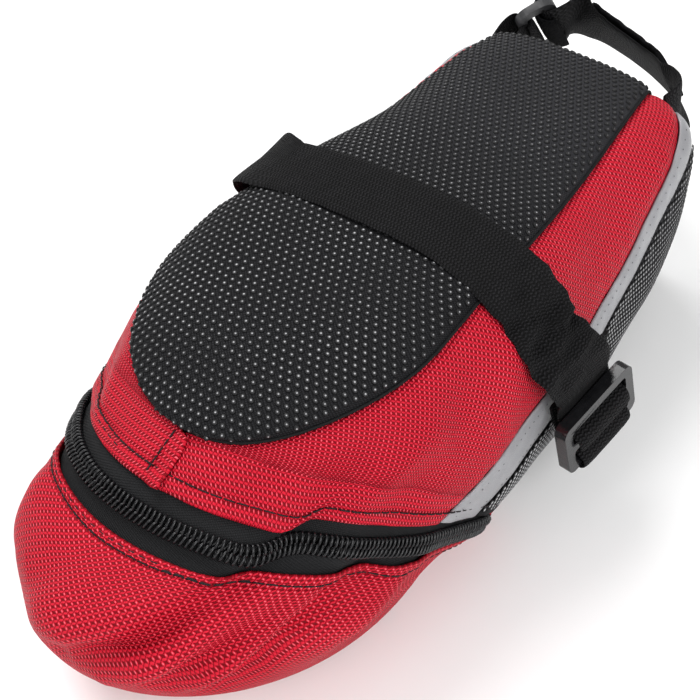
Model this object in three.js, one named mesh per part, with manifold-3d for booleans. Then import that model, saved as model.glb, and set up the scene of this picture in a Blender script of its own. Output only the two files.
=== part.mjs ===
// Bicycle saddle bag: a padded wedge-shaped pouch with a zipped tail flap, a webbing strap with a
// ladder-lock buckle across its top, and a hook-and-loop strap that closes around the seat post.
// Millimetres. +Z is up, +Y points to the seat post, and the origin is in the middle of the flat
// underside that the bag lies on.
import Module from "manifold-3d";
import * as THREE from "three";
import { mergeVertices } from "three/addons/utils/BufferGeometryUtils.js";

const { clamp, degToRad, lerp } = THREE.MathUtils;
const wasm = await Module();
wasm.setup();

// ---------------------------------------------------------------- driving dimensions
// The bag's skin is a loft of rounded sections. Each section lies in a plane that leans back from
// its bottom point to its top point (both given as [y, z]). "half" is its half width, "wide" how
// far up it is widest, and "power" how square its corners are. Station 1 is the hem over the zip,
// station 1.12 the hem below it, and the tail flap runs on to station 2, flat on the ground.
const HEM = 1;
const FLAP_HEM = 1.12;
const TAIL_END = 2;
const STATIONS = [
  { s: 0, top: [0, 60], bottom: [0, 5], half: 31, wide: 0.64, power: 3, bow: 0 },
  { s: 0.04, top: [-6, 66], bottom: [-4, -0.5], half: 38, wide: 0.6, power: 3, bow: 0 },
  { s: 0.25, top: [-56, 73], bottom: [-36, -1.5], half: 45, wide: 0.48, power: 3, bow: 0 },
  { s: 0.5, top: [-108, 79.5], bottom: [-64, -1.5], half: 49, wide: 0.44, power: 3, bow: 2 },
  { s: 0.75, top: [-156, 75], bottom: [-86, -1], half: 48.5, wide: 0.4, power: 2.9, bow: 7 },
  { s: HEM, top: [-186.5, 60.5], bottom: [-101, 2], half: 46.5, wide: 0.32, power: 2.8, bow: 12 },
  { s: FLAP_HEM, top: [-197.5, 53], bottom: [-106, 0.5], half: 46, wide: 0.33, power: 2.8, bow: 12 },
  { s: 1.26, top: [-210.5, 50.5], bottom: [-106.5, -0.5], half: 44, wide: 0.36, power: 2.4, bow: 7 },
  { s: 1.42, top: [-221, 44], bottom: [-107, -0.8], half: 43, wide: 0.38, power: 2.1, bow: 2 },
  { s: 1.6, top: [-220, 31], bottom: [-108, -0.8], half: 41.5, wide: 0.38, power: 2, bow: 0 },
  { s: 1.8, top: [-210, 14], bottom: [-109, -0.8], half: 39, wide: 0.4, power: 2, bow: 0 },
  { s: 1.92, top: [-199, 4], bottom: [-110, -0.8], half: 36, wide: 0.42, power: 2, bow: 0 },
  { s: TAIL_END, top: [-189, -0.5], bottom: [-112, -0.8], half: 32, wide: 0.45, power: 2, bow: 0 },
];

// Layers, as depths below the skin: where each starts and ends. A negative depth stands proud.
const TOP_LAYER = [-1.2, 0.2];
const FABRIC_LAYER = [0, 1];
const TAPE_LAYER = [-0.4, 0.7];
const FOAM_LAYER = [1.8, 3.8];
const LINING_LAYER = [4.8, 5.6];
const FLAP_LINING_LAYER = [3.4, 4.2];
const ZIP_TAPE_LAYER = [2, 2.7];
const COIL_LAYER = [-0.9, 1.2];
const SEAM = 0.4; // half the gap between panels that are sewn edge to edge

// Tongue-shaped top panel: its half widths, and how far back its round end starts and ends.
const TONGUE_FRONT = 5;
const TONGUE_HALF_FRONT = 21.5;
const TONGUE_HALF = 33.8;
const TONGUE_ROUND = 130;
const TONGUE_END = 174.5;
const TONGUE_POWER = 2.2;

// Reflective tape along each side: heights of its centre at the front and at the zip, and half its
// own height there. Ahead of CORNER, where the skin rounds into the front face, it runs straight.
const TAPE_FRONT_Z = 58;
const TAPE_REAR_Z = 29;
const TAPE_REAR_Y = -128;
const TAPE_HALF_FRONT = 2.8;
const TAPE_HALF_REAR = 7;
const CORNER = 0.04;

// Coil zip over the tail. It stops at the sides, ZIP_SPAN from the top centre; widths in stations.
const ZIP_MIDDLE = 1.06;
const ZIP_GAP = 0.002;
const ZIP_SPAN = degToRad(100);
const COIL_WIDTH = 0.026;
const ZIP_TAPE_WIDTH = 0.083;
const SLIDER_ANGLE = -degToRad(93);

// Webbing of both straps.
const WEBBING = 1.5;
const STRAP_WIDTH = 20;
const STRAP_Y = -100;
const STRAP_DEPTH = -2.9; // of the middle of the webbing
const STRAP_LIFT = 1.5;
const STRAP_DRIFT = 22;

// Seat-post strap: it leans, so that its upper edge is nearer the bag.
const POST_LEAN = degToRad(35);
const POST_Z = 49.8;
const POST_WIDTH = 20;
const END_OFFSET = 2.4;
const FACE_STRAP_Z = 45.8;
const FACE_STRAP_TILT = degToRad(-4);
const FACE_STRAP_Y = 1.1;
const FACE_STRAP_LONG = 52;

// Ladder-lock buckle and oblong ring, both for 20 mm webbing.
const BUCKLE = { wide: 27, tall: 17.5, thick: 3.4, bar: 2.8, slot: 21.4 };
const BUCKLE_AT = [58.2, -89.9, 32.5];
const BUCKLE_ALONG = [0.12, 1, 0.2];
const BUCKLE_UP = [-0.1, -0.2, 1];
const RING = { long: 27, short: 12.5, thick: 2.6, bar: 3 };
const RING_AT = [-26, 22.5, 50];

// Zip slider: [low, high] of its parts above the skin, half its widths, and its ends along the coil.
const SLIDER_PLATE = [2.6, 3.8];
const SLIDER_FLANGE_LOW = 2.4;
const SLIDER_HALF = { rear: 3.5, front: 3.9, inside: 2.7 };
const SLIDER_ENDS = [-5, 6];
const SLIDER_BRIDGE = { ends: [-3.2, 4], eye: [-1.4, 2.4], top: 7.2, half: 1 };
const PULLER = { long: 22, wide: 6.5, thick: 1.2, eye: [5, 3], at: [-9.5, 4.9] };

// The skin's stations are measured from the front face, and the origin is this far behind it.
const FRONT_Y = 46;

const vector = (x, y, z) => new THREE.Vector3(x, y, z);
const bag = new THREE.Group();
bag.position.y = FRONT_Y;

// ---------------------------------------------------------------- the skin
const READ = {
  topY: (q) => q.top[0],
  topZ: (q) => q.top[1],
  bottomY: (q) => q.bottom[0],
  bottomZ: (q) => q.bottom[1],
  half: (q) => q.half,
  wide: (q) => q.wide,
  power: (q) => q.power,
  bow: (q) => q.bow,
};

function slopeAt(index, read) {
  const before = STATIONS[Math.max(index - 1, 0)];
  const after = STATIONS[Math.min(index + 1, STATIONS.length - 1)];
  return (read(after) - read(before)) / (after.s - before.s);
}

// Section between the stations, by a cubic that passes through each of them.
function section(s) {
  let i = 0;
  while (i < STATIONS.length - 2 && s > STATIONS[i + 1].s) i += 1;
  const a = STATIONS[i];
  const b = STATIONS[i + 1];
  const run = b.s - a.s;
  const t = (s - a.s) / run;
  const out = {};
  for (const [key, read] of Object.entries(READ)) {
    const rise = read(b) - read(a);
    const startBend = slopeAt(i, read) * run - rise;
    const endBend = rise - slopeAt(i + 1, read) * run;
    out[key] = read(a) + rise * t + t * (1 - t) * (startBend * (1 - t) + endBend * t);
  }
  return out;
}

const signedPower = (value, power) => Math.sign(value) * Math.abs(value) ** power;

// Point of the skin at station s and angle a from the top centre, moved inwards by a depth.
function skin(s, a, depth = 0) {
  const q = section(s);
  const tall = Math.hypot(q.topY + q.bow - q.bottomY, q.topZ - q.bottomZ);
  const across = signedPower(Math.sin(a), 2 / q.power);
  const along = signedPower(Math.cos(a), 2 / q.power);
  const reach = (along > 0 ? (1 - q.wide) * tall : q.wide * tall) - depth;
  const h = (q.wide * tall + reach * along) / tall;
  return new THREE.Vector3(
    (q.half - depth) * across,
    lerp(q.bottomY, q.topY + q.bow, h) - q.bow * h * (1 - across ** 2),
    Math.max(lerp(q.bottomZ, q.topZ, h), depth),
  );
}

// Root of a function that falls from low to high.
function solve(low, high, fall) {
  let [from, to] = [low, high];
  for (let i = 0; i < 40; i += 1) {
    const middle = (from + to) / 2;
    if (fall(middle) > 0) from = middle;
    else to = middle;
  }
  return (from + to) / 2;
}

const stationAtTop = (y) => solve(0, HEM, (s) => section(s).topY - y);
const stationAt = (y, a, depth) => solve(0, HEM, (s) => skin(s, a, depth).y - y);
const skinAtY = (y, a, depth) => skin(stationAt(y, a, depth), a, depth);

// Angle at which the skin is a given distance from the centre line, on its upper half.
function angleOfHalf(s, x) {
  const q = section(s);
  return Math.sign(x) * Math.asin(clamp(Math.abs(x) / q.half, 0, 1) ** (q.power / 2));
}

// Angle of a line along the reflective tape: edge is 1 at its upper edge and -1 at its lower edge,
// and gap moves the line off that edge.
function tapeAngle(s, edge, gap = 0) {
  return solve(0, Math.PI, (a) => {
    const p = skin(Math.max(s, CORNER), a);
    const back = p.y / TAPE_REAR_Y;
    const half = lerp(TAPE_HALF_FRONT, TAPE_HALF_REAR, back);
    return p.z - lerp(TAPE_FRONT_Z, TAPE_REAR_Z, back) - edge * half - gap;
  });
}

// ---------------------------------------------------------------- closed solids
const materials = {
  red: [0xc41a2c, 0.75],
  coated: [0x26282b, 0.5],
  reflective: [0xa8a8ac, 0.4],
  webbing: [0x131314, 0.9],
  plastic: [0x101012, 0.3],
  coil: [0x0c0c0d, 0.3],
  foam: [0xd8d6d0, 0.9],
  lining: [0x202022, 0.8],
  board: [0xe4e4e0, 0.6],
  metal: [0x2a2a2c, 0.35],
};

function add(name, geometry, kind, parent = bag) {
  const [color, roughness] = materials[kind];
  const metalness = kind === "metal" ? 0.8 : 0;
  const material = new THREE.MeshStandardMaterial({ color, roughness, metalness });
  const mesh = new THREE.Mesh(geometry, material);
  mesh.name = name;
  parent.add(mesh);
  return mesh;
}

function signedVolume(position, index) {
  const [a, b, c] = [new THREE.Vector3(), new THREE.Vector3(), new THREE.Vector3()];
  let sum = 0;
  for (let i = 0; i < index.length; i += 3) {
    a.fromBufferAttribute(position, index[i]);
    b.fromBufferAttribute(position, index[i + 1]);
    c.fromBufferAttribute(position, index[i + 2]);
    sum += a.dot(b.cross(c)) / 6;
  }
  return sum;
}

// Joins shared vertices, drops the faces that shrank to a line, and turns the faces outwards.
function closed(geometry) {
  geometry.deleteAttribute("normal");
  geometry.deleteAttribute("uv");
  const merged = mergeVertices(geometry, 1e-3);
  const old = merged.getIndex().array;
  const kept = [];
  for (let i = 0; i < old.length; i += 3) {
    const [a, b, c] = [old[i], old[i + 1], old[i + 2]];
    if (a !== b && b !== c && c !== a) kept.push(a, b, c);
  }
  if (signedVolume(merged.getAttribute("position"), kept) < 0) kept.reverse();
  merged.setIndex(kept);
  merged.computeVertexNormals();
  return merged;
}

function toManifold(geometry) {
  const vertProperties = new Float32Array(geometry.getAttribute("position").array);
  const triVerts = new Uint32Array(geometry.getIndex().array);
  return new wasm.Manifold(new wasm.Mesh({ numProp: 3, vertProperties, triVerts }));
}

function fromManifold(manifold) {
  const { vertProperties, triVerts } = manifold.getMesh();
  const geometry = new THREE.BufferGeometry();
  geometry.setAttribute("position", new THREE.BufferAttribute(vertProperties, 3));
  geometry.setIndex(new THREE.BufferAttribute(triVerts, 1));
  return closed(geometry);
}

// A box whose three directions are bent into place: place(u, v, t), each from 0 to 1.
function bentBox(columns, rows, place) {
  const box = new THREE.BoxGeometry(1, 1, 1, columns, rows, 1);
  const position = box.getAttribute("position");
  for (let i = 0; i < position.count; i += 1) {
    const [u, v, t] = [position.getX(i) + 0.5, position.getY(i) + 0.5, position.getZ(i) + 0.5];
    const p = place(u, v, t);
    position.setXYZ(i, p.x, p.y, p.z);
  }
  return closed(box);
}

// A panel of the skin: stations are its rows, and angle(s, u) gives the angle across each row.
function panel(stations, angle, layer, columns) {
  return bentBox(columns, stations.length - 1, (u, v, t) => {
    const s = stations[Math.round(v * (stations.length - 1))];
    return skin(s, angle(s, u), lerp(layer[0], layer[1], t));
  });
}

// A cup that follows the skin from its open rim to a closed end, as a turned shape bent into
// place. Each point of its profile is [station, depth, fraction of the way out from the middle].
function cup(profile, around) {
  const outline = profile.map((point, i) => new THREE.Vector2(point[2], i));
  const lathe = new THREE.LatheGeometry(outline, around);
  const position = lathe.getAttribute("position");
  for (let i = 0; i < position.count; i += 1) {
    const [s, depth, out] = profile[i % profile.length];
    const turn = Math.floor(i / profile.length) % around;
    const rim = skin(s, (turn / around) * 2 * Math.PI, depth);
    const middle = skin(s, 0, depth).add(skin(s, Math.PI, depth)).multiplyScalar(0.5);
    const p = middle.lerp(rim, out);
    position.setXYZ(i, p.x, p.y, p.z);
  }
  return closed(lathe);
}

function wall(stations, depth) {
  return stations.map((s) => [s, depth, 1]);
}

// Flat webbing along a smooth line, with as many steps between each two of the line's points.
// across(u) is the direction of its width.
function ribbon(points, across, width, thickness, steps) {
  const line = new THREE.CatmullRomCurve3(points);
  return bentBox(steps, 1, (u, v, t) => {
    const wide = across(u).normalize();
    const normal = line.getTangent(u).cross(wide).normalize();
    return line
      .getPoint(u)
      .addScaledVector(wide, (v - 0.5) * width)
      .addScaledVector(normal, (t - 0.5) * thickness);
  });
}

// A flat plate with holes, centred on its own origin.
function plate(shape, holes, thickness) {
  shape.holes.push(...holes);
  const geometry = new THREE.ExtrudeGeometry(shape, {
    depth: thickness,
    bevelEnabled: false,
    curveSegments: 4,
  });
  geometry.translate(0, 0, -thickness / 2);
  return closed(geometry);
}

function roundedRectangle(wide, tall, radius, x = 0, y = 0, Kind = THREE.Shape) {
  const [w, h] = [wide / 2 - radius, tall / 2 - radius];
  const shape = new Kind();
  shape.absarc(x + w, y + h, radius, 0, Math.PI / 2);
  shape.absarc(x - w, y + h, radius, Math.PI / 2, Math.PI);
  shape.absarc(x - w, y - h, radius, Math.PI, 1.5 * Math.PI);
  shape.absarc(x + w, y - h, radius, 1.5 * Math.PI, 2 * Math.PI);
  shape.closePath();
  return shape;
}

function frameAt(origin, xAxis, yAxis) {
  const x = xAxis.clone().normalize();
  const z = x.clone().cross(yAxis).normalize();
  const y = z.clone().cross(x);
  const group = new THREE.Group();
  group.applyMatrix4(new THREE.Matrix4().makeBasis(x, y, z).setPosition(origin));
  bag.add(group);
  return group;
}

// ---------------------------------------------------------------- top panel and side panels
function tongueHalf(s) {
  const back = -section(s).topY;
  if (back < TONGUE_ROUND) {
    return lerp(TONGUE_HALF_FRONT, TONGUE_HALF, Math.sin(((back / TONGUE_ROUND) * Math.PI) / 2));
  }
  const t = clamp((back - TONGUE_ROUND) / (TONGUE_END - TONGUE_ROUND), 0, 1);
  return TONGUE_HALF * (1 - t ** TONGUE_POWER) ** (1 / TONGUE_POWER);
}

const even = (from, to, steps) =>
  Array.from({ length: steps + 1 }, (_, i) => lerp(from, to, i / steps));

const straightRows = even(TONGUE_FRONT, TONGUE_ROUND, 6).map((back) => stationAtTop(-back));
const roundRows = even(15, 84, 5).map((degrees) => {
  const back = TONGUE_ROUND + (TONGUE_END - TONGUE_ROUND) * Math.sin(degToRad(degrees));
  return stationAtTop(-back);
});
const tongueRows = [...straightRows, ...roundRows];
const frontRow = stationAtTop(-2);
const sideRows = [frontRow, ...tongueRows, stationAtTop(-TONGUE_END - 0.8), HEM - 0.03, HEM];
const foamRows = sideRows.filter((s) => s > 0.06 && s < 0.95);

function tongueAngle(inset) {
  return (s, u) => {
    const half = Math.max(tongueHalf(s) - inset, 1);
    return angleOfHalf(s, lerp(-half, half, u));
  };
}

function topPanel() {
  add("top_panel", panel(tongueRows, tongueAngle(0), TOP_LAYER, 8), "coated");
  const rows = tongueRows.filter((s) => s > 0.06 && s < 0.84);
  add("top_foam", panel(rows, tongueAngle(2), FOAM_LAYER, 8), "foam");
}

function sidePanels() {
  for (const [side, sign] of [["left", -1], ["right", 1]]) {
    const inner = (s) => angleOfHalf(s, tongueHalf(s) + SEAM);
    const red = (s, u) => sign * lerp(inner(s), tapeAngle(s, 1, SEAM), u);
    add(`side_panel_${side}`, panel(sideRows, red, FABRIC_LAYER, 8), "red");
    const tape = (s, u) => sign * lerp(tapeAngle(s, 1), tapeAngle(s, -1), u);
    add(`reflective_tape_${side}`, panel(sideRows, tape, TAPE_LAYER, 2), "reflective");
    const foamInner = (s) => angleOfHalf(s, Math.max(tongueHalf(s) + 1.5, 3));
    const foam = (s, u) => sign * lerp(foamInner(s), tapeAngle(s, 0), u);
    add(`side_foam_${side}`, panel(foamRows, foam, FOAM_LAYER, 6), "foam");
  }
}

function basePieces() {
  const under = (s, u) => {
    const edge = tapeAngle(s, -1, -SEAM);
    return lerp(edge, 2 * Math.PI - edge, u);
  };
  add("base_panel", panel(sideRows, under, FABRIC_LAYER, 14), "coated");
  const board = plate(roundedRectangle(36, 62, 6), [], 1.8);
  add("base_board", board, "board").position.set(0, -46, 2.9);
}

// Outline of one section, seen from the front.
function sectionShape(s, inset) {
  const points = even(0, 2 * Math.PI, 36)
    .slice(0, -1)
    .map((a) => skin(s, a, inset));
  return new THREE.Shape(points.map((p) => new THREE.Vector2(p.x, p.z)));
}

function frontPanel() {
  const mesh = add("front_panel", plate(sectionShape(0, 0.2), [], 1), "coated");
  mesh.rotation.x = Math.PI / 2;
  mesh.position.y = -0.5;
}

function bodyLining() {
  const rows = even(0.09, 0.985, 9);
  const profile = [
    [0.07, LINING_LAYER[0], 0],
    [0.07, LINING_LAYER[0], 1],
    ...wall(rows, LINING_LAYER[0]),
    ...wall([...rows].reverse(), LINING_LAYER[1]),
    [rows[0], LINING_LAYER[1], 0],
  ];
  add("body_lining", cup(profile, 28), "lining");
}

// ---------------------------------------------------------------- zip and tail flap
const FLAP_ROWS = [FLAP_HEM + 0.006, 1.22, 1.34, 1.48, 1.64, 1.8, 1.92, TAIL_END];
const FLAP_LINING_ROWS = [FLAP_HEM + 0.03, 1.24, 1.38, 1.54, 1.7, 1.86, 1.96];

function flapCup(rows, layer) {
  const profile = [
    [rows.at(-1), layer[0], 0],
    ...wall([...rows].reverse(), layer[0]),
    ...wall(rows, layer[1]),
    [rows.at(-1), layer[1], 0],
  ];
  return cup(profile, 32);
}

function tailFlap() {
  add("tail_flap", flapCup(FLAP_ROWS, FABRIC_LAYER), "red");
  add("flap_lining", flapCup(FLAP_LINING_ROWS, FLAP_LINING_LAYER), "lining");
  const under = (s, u) => lerp(ZIP_SPAN + 0.08, 2 * Math.PI - ZIP_SPAN - 0.08, u);
  const rows = [HEM + 0.008, ZIP_MIDDLE, FLAP_HEM - 0.006];
  add("flap_hinge_panel", panel(rows, under, FABRIC_LAYER, 12), "red");
}

function zipStrip(from, to, layer, steps) {
  const sweep = (s, u) => lerp(-ZIP_SPAN, ZIP_SPAN, u);
  return panel([from, (from + to) / 2, to], sweep, layer, steps);
}

function zipPieces() {
  const upper = ZIP_MIDDLE - ZIP_GAP;
  const lower = ZIP_MIDDLE + ZIP_GAP;
  add("zip_tape_upper", zipStrip(upper - ZIP_TAPE_WIDTH, upper, ZIP_TAPE_LAYER, 28), "webbing");
  add("zip_tape_lower", zipStrip(lower, lower + ZIP_TAPE_WIDTH, ZIP_TAPE_LAYER, 28), "webbing");
  add("zip_coil_upper", zipStrip(upper - COIL_WIDTH, upper, COIL_LAYER, 28), "coil");
  add("zip_coil_lower", zipStrip(lower, lower + COIL_WIDTH, COIL_LAYER, 28), "coil");
  for (const [side, sign] of [["left", -1], ["right", 1]]) {
    const bar = (s, u) => sign * (ZIP_SPAN + lerp(0.01, 0.05, u));
    const rows = [upper - COIL_WIDTH, lower + COIL_WIDTH];
    add(`zip_end_${side}`, panel(rows, bar, COIL_LAYER, 1), "webbing");
  }
}

// The slider rides on the coil at the left end: a top plate, two flanges and a crown, and the
// pull tab lies back from the crown.
function sliderFrame() {
  const here = skin(ZIP_MIDDLE, SLIDER_ANGLE);
  const ahead = skin(ZIP_MIDDLE, SLIDER_ANGLE + 0.9);
  const aside = skin(ZIP_MIDDLE + 0.02, SLIDER_ANGLE);
  return frameAt(here, ahead.sub(here), here.clone().sub(aside));
}

// Outline of the slider from above: it widens towards the end where the coils part.
function sliderOutline() {
  const [rear, front] = SLIDER_ENDS;
  const outline = new THREE.Shape();
  outline.moveTo(rear, -SLIDER_HALF.rear);
  outline.quadraticCurveTo(-1, -SLIDER_HALF.rear, front - 1, -SLIDER_HALF.front);
  outline.lineTo(front, -SLIDER_HALF.front + 2);
  outline.lineTo(front, SLIDER_HALF.front - 2);
  outline.lineTo(front - 1, SLIDER_HALF.front);
  outline.quadraticCurveTo(-1, SLIDER_HALF.rear, rear, SLIDER_HALF.rear);
  outline.closePath();
  return outline;
}

function rectangle([x0, x1], [y0, y1], Kind = THREE.Shape) {
  const shape = new Kind();
  shape.moveTo(x0, y0).lineTo(x1, y0).lineTo(x1, y1).lineTo(x0, y1).closePath();
  return shape;
}

function extruded(shape, depth) {
  return new THREE.ExtrudeGeometry(shape, { depth, bevelEnabled: false, curveSegments: 4 });
}

function sliderBody() {
  const [low, high] = [SLIDER_FLANGE_LOW, SLIDER_PLATE[1]];
  const block = extruded(sliderOutline(), high - low).translate(0, 0, low);
  const length = SLIDER_ENDS[1] - SLIDER_ENDS[0] + 2;
  const groove = new THREE.BoxGeometry(length, 2 * SLIDER_HALF.inside, 2);
  groove.translate(0, 0, SLIDER_PLATE[0] - 1);
  const { ends, eye, top, half } = SLIDER_BRIDGE;
  const arch = rectangle(ends, [high - 0.5, top]);
  arch.holes.push(rectangle(eye, [high, top - 1.2], THREE.Path));
  const bridge = extruded(arch, 2 * half).rotateX(Math.PI / 2).translate(0, half, 0);
  const channel = toManifold(closed(block)).subtract(toManifold(closed(groove)));
  return fromManifold(channel.add(toManifold(closed(bridge))));
}

function zipSlider() {
  const place = sliderFrame();
  add("zip_slider", sliderBody(), "metal", place);
  const eyeX = PULLER.long / 2 - PULLER.eye[0] / 2 - 1;
  const tab = roundedRectangle(PULLER.long, PULLER.wide, 2.4);
  const eye = roundedRectangle(...PULLER.eye, 1.2, eyeX, 0, THREE.Path);
  const puller = add("zip_puller", plate(tab, [eye], PULLER.thick), "metal", place);
  puller.position.set(PULLER.at[0], 0, PULLER.at[1]);
}

// ---------------------------------------------------------------- saddle strap and buckle
// The buckle hangs beside the right seam: x along its bars, y up, z away from the bag.
const buckle = frameAt(vector(...BUCKLE_AT), vector(...BUCKLE_ALONG), vector(...BUCKLE_UP));
const TOP_BAR = (BUCKLE.tall - BUCKLE.bar) / 2;
const SLOT = (BUCKLE.tall - 3 * BUCKLE.bar) / 2;
const SLOT_MIDDLE = (SLOT + BUCKLE.bar) / 2;

function fromBuckle(x, y, z) {
  buckle.updateMatrix();
  return vector(x, y, z).applyMatrix4(buckle.matrix);
}

// The strap is sewn into the left seam, stands a little off the left shoulder, crosses the top,
// drifts forward down the right side, and goes behind the buckle's top bar and out of its slot.
function strapLine() {
  const over = even(-94, 60, 15).map((degrees) => {
    const down = clamp(-degrees - 30, 0, 64) / 64;
    const proud = STRAP_LIFT * Math.exp(-(((degrees + 52) / 16) ** 2));
    return skinAtY(STRAP_Y + STRAP_DRIFT * down, degToRad(degrees), STRAP_DEPTH - proud);
  });
  return [
    ...over,
    vector(52.9, -98, 56.5),
    fromBuckle(-0.4, 15, -1.6),
    fromBuckle(0, 8.6, -3),
    fromBuckle(0, 6.2, -2.8),
    fromBuckle(0, 4.5, -1.5),
    fromBuckle(0, 3.5, 0.4),
    fromBuckle(0, 2.4, 2.4),
    fromBuckle(0, 0.8, 3),
    fromBuckle(0, -1, 3),
  ];
}

function saddleStrap() {
  const line = strapLine();
  const across = (u) => {
    const turned = clamp((u - 0.6) / 0.12, 0, 1);
    return vector(turned * BUCKLE_ALONG[0], 1, turned * BUCKLE_ALONG[2]);
  };
  const strap = ribbon(line, across, STRAP_WIDTH, WEBBING, 2 * (line.length - 1));
  add("saddle_strap", strap, "webbing");
}

function ladderLock() {
  const holes = [-SLOT_MIDDLE, SLOT_MIDDLE].map((y) =>
    roundedRectangle(BUCKLE.slot, SLOT, 1, 0, y, THREE.Path));
  const outline = roundedRectangle(BUCKLE.wide, BUCKLE.tall, 2.5);
  add("ladder_lock", plate(outline, holes, BUCKLE.thick), "plastic", buckle);
}

// Webbing from the seam behind the buckle, around its lower bar and back through the lower slot.
function buckleAnchor() {
  const reach = [BUCKLE.thick / 2 + 1.4, BUCKLE.bar / 2 + 1.4];
  const turn = even(180, 360, 6).map((degrees) => {
    const angle = degToRad(degrees);
    return vector(0, -TOP_BAR + reach[1] * Math.sin(angle), reach[0] * Math.cos(angle));
  });
  const down = [vector(0, 9.5, -5.9), vector(0, 4, -5.5), vector(0, -1, -4.5)];
  const back = [vector(0, -TOP_BAR + 2.9, 1.7), vector(0, -TOP_BAR + 3.6, -0.4)];
  const line = [...down, ...turn, ...back];
  const alongBar = () => vector(1, 0, 0);
  add("buckle_anchor", ribbon(line, alongBar, STRAP_WIDTH - 1, 1.2, 22), "webbing", buckle);
}

// The strap's free end, tucked back up between the strap and the bag.
function strapTail() {
  const line = [
    vector(0.5, 0.6, -3),
    vector(0.8, 4, -3.9),
    vector(1.2, 8, -4.6),
    vector(1.8, 12, -4.6),
    vector(2.6, 16, -4.2),
    vector(3.4, 20.5, -3.6),
  ];
  const alongBar = () => vector(1, 0, 0);
  add("strap_tail", ribbon(line, alongBar, STRAP_WIDTH - 1, 1.2, 12), "webbing", buckle);
}

// ---------------------------------------------------------------- seat-post strap and ring
const leaning = (lean) => vector(0, -Math.sin(lean), Math.cos(lean));

// The ring stands at the loop's left: x across its two long bars towards the strap, y along them.
const ring = frameAt(vector(...RING_AT), vector(0.573, 0.67, 0.47), leaning(POST_LEAN));
const RING_BAR = (RING.short - RING.bar) / 2;
const FOLD = RING.bar / 2 + 0.65 + WEBBING / 2;

function fromRing(x, z) {
  ring.updateMatrix();
  return vector(x, 0, z).applyMatrix4(ring.matrix);
}

// A fold of webbing around one long bar, seen along the bar: from the inside of the loop, through
// the ring's slot, to the outside. "side" is 1 for the strap's bar and -1 for the tab's bar.
function foldAround(side) {
  return even(90, 270, 6).map((degrees) => {
    const angle = degToRad(degrees);
    return fromRing(side * (RING_BAR + FOLD * Math.cos(angle)), FOLD * Math.sin(angle));
  });
}

// Centre line of the loop, from the right end of the bag's front face to the ring.
const LOOP = [
  vector(25.8, 2.8, 48),
  vector(26.6, 7, 50.4),
  vector(24.2, 12.8, 52),
  vector(18.2, 20.6, 51.8),
  vector(11, 27, 50.9),
  vector(3, 31, 50.2),
  vector(-5, 32.8, POST_Z),
  vector(-13, 32.2, 50.6),
  vector(-18.4, 29.4, 51.4),
];

function postStrap() {
  const face = closed(new THREE.BoxGeometry(FACE_STRAP_LONG, WEBBING, POST_WIDTH));
  const base = add("post_strap_base", face, "webbing");
  base.position.set(0, FACE_STRAP_Y, FACE_STRAP_Z);
  base.rotation.y = FACE_STRAP_TILT;
  const lean = (u) => leaning(POST_LEAN * clamp(u / 0.2, 0, 1));
  const line = [...LOOP, ...foldAround(1)];
  add("post_strap_loop", ribbon(line, lean, POST_WIDTH, WEBBING, 45), "webbing");
}

// The free end lies on the outside of the loop, from the ring back to the right.
function postStrapEnd() {
  const inner = new THREE.CatmullRomCurve3(LOOP);
  const width = leaning(POST_LEAN);
  const line = even(0.96, 0.3, 12).map((u) => {
    const outwards = width.clone().cross(inner.getTangentAt(u)).normalize();
    return inner.getPointAt(u).addScaledVector(outwards, -END_OFFSET);
  });
  const end = ribbon(line, () => leaning(POST_LEAN), POST_WIDTH - 1, WEBBING, 22);
  add("post_strap_end", end, "webbing");
}

function ringAndTab() {
  const slot = [RING.short - 2 * RING.bar, RING.long - 2 * RING.bar];
  const hole = roundedRectangle(slot[0], slot[1], 1, 0, 0, THREE.Path);
  const outline = roundedRectangle(RING.short, RING.long, 4.5);
  add("post_strap_ring", plate(outline, [hole], RING.thick), "plastic", ring);
  const outer = [vector(-30.6, 2.6, 44.5), vector(-32.4, 9, 45.8)];
  const inner = [vector(-26.2, 9, 45.8), vector(-25.4, 2.6, 44.5)];
  const line = [...inner.reverse(), ...foldAround(-1), ...outer.reverse()];
  const lean = (u) => leaning(POST_LEAN * clamp(2.4 * Math.sin(Math.PI * u), 0, 1));
  add("post_ring_tab", ribbon(line, lean, POST_WIDTH - 1, 1.2, 30), "webbing");
}

topPanel();
sidePanels();
basePieces();
frontPanel();
bodyLining();
tailFlap();
zipPieces();
zipSlider();
saddleStrap();
ladderLock();
buckleAnchor();
strapTail();
postStrap();
postStrapEnd();
ringAndTab();

export default bag;
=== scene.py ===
"""Looks of a bicycle saddle bag: sewn cloth panels, coil zip, webbing straps and their hardware.

Lengths are millimetres in the part's frame until a mesh is made, and metres after that.
"""
import math

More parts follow.
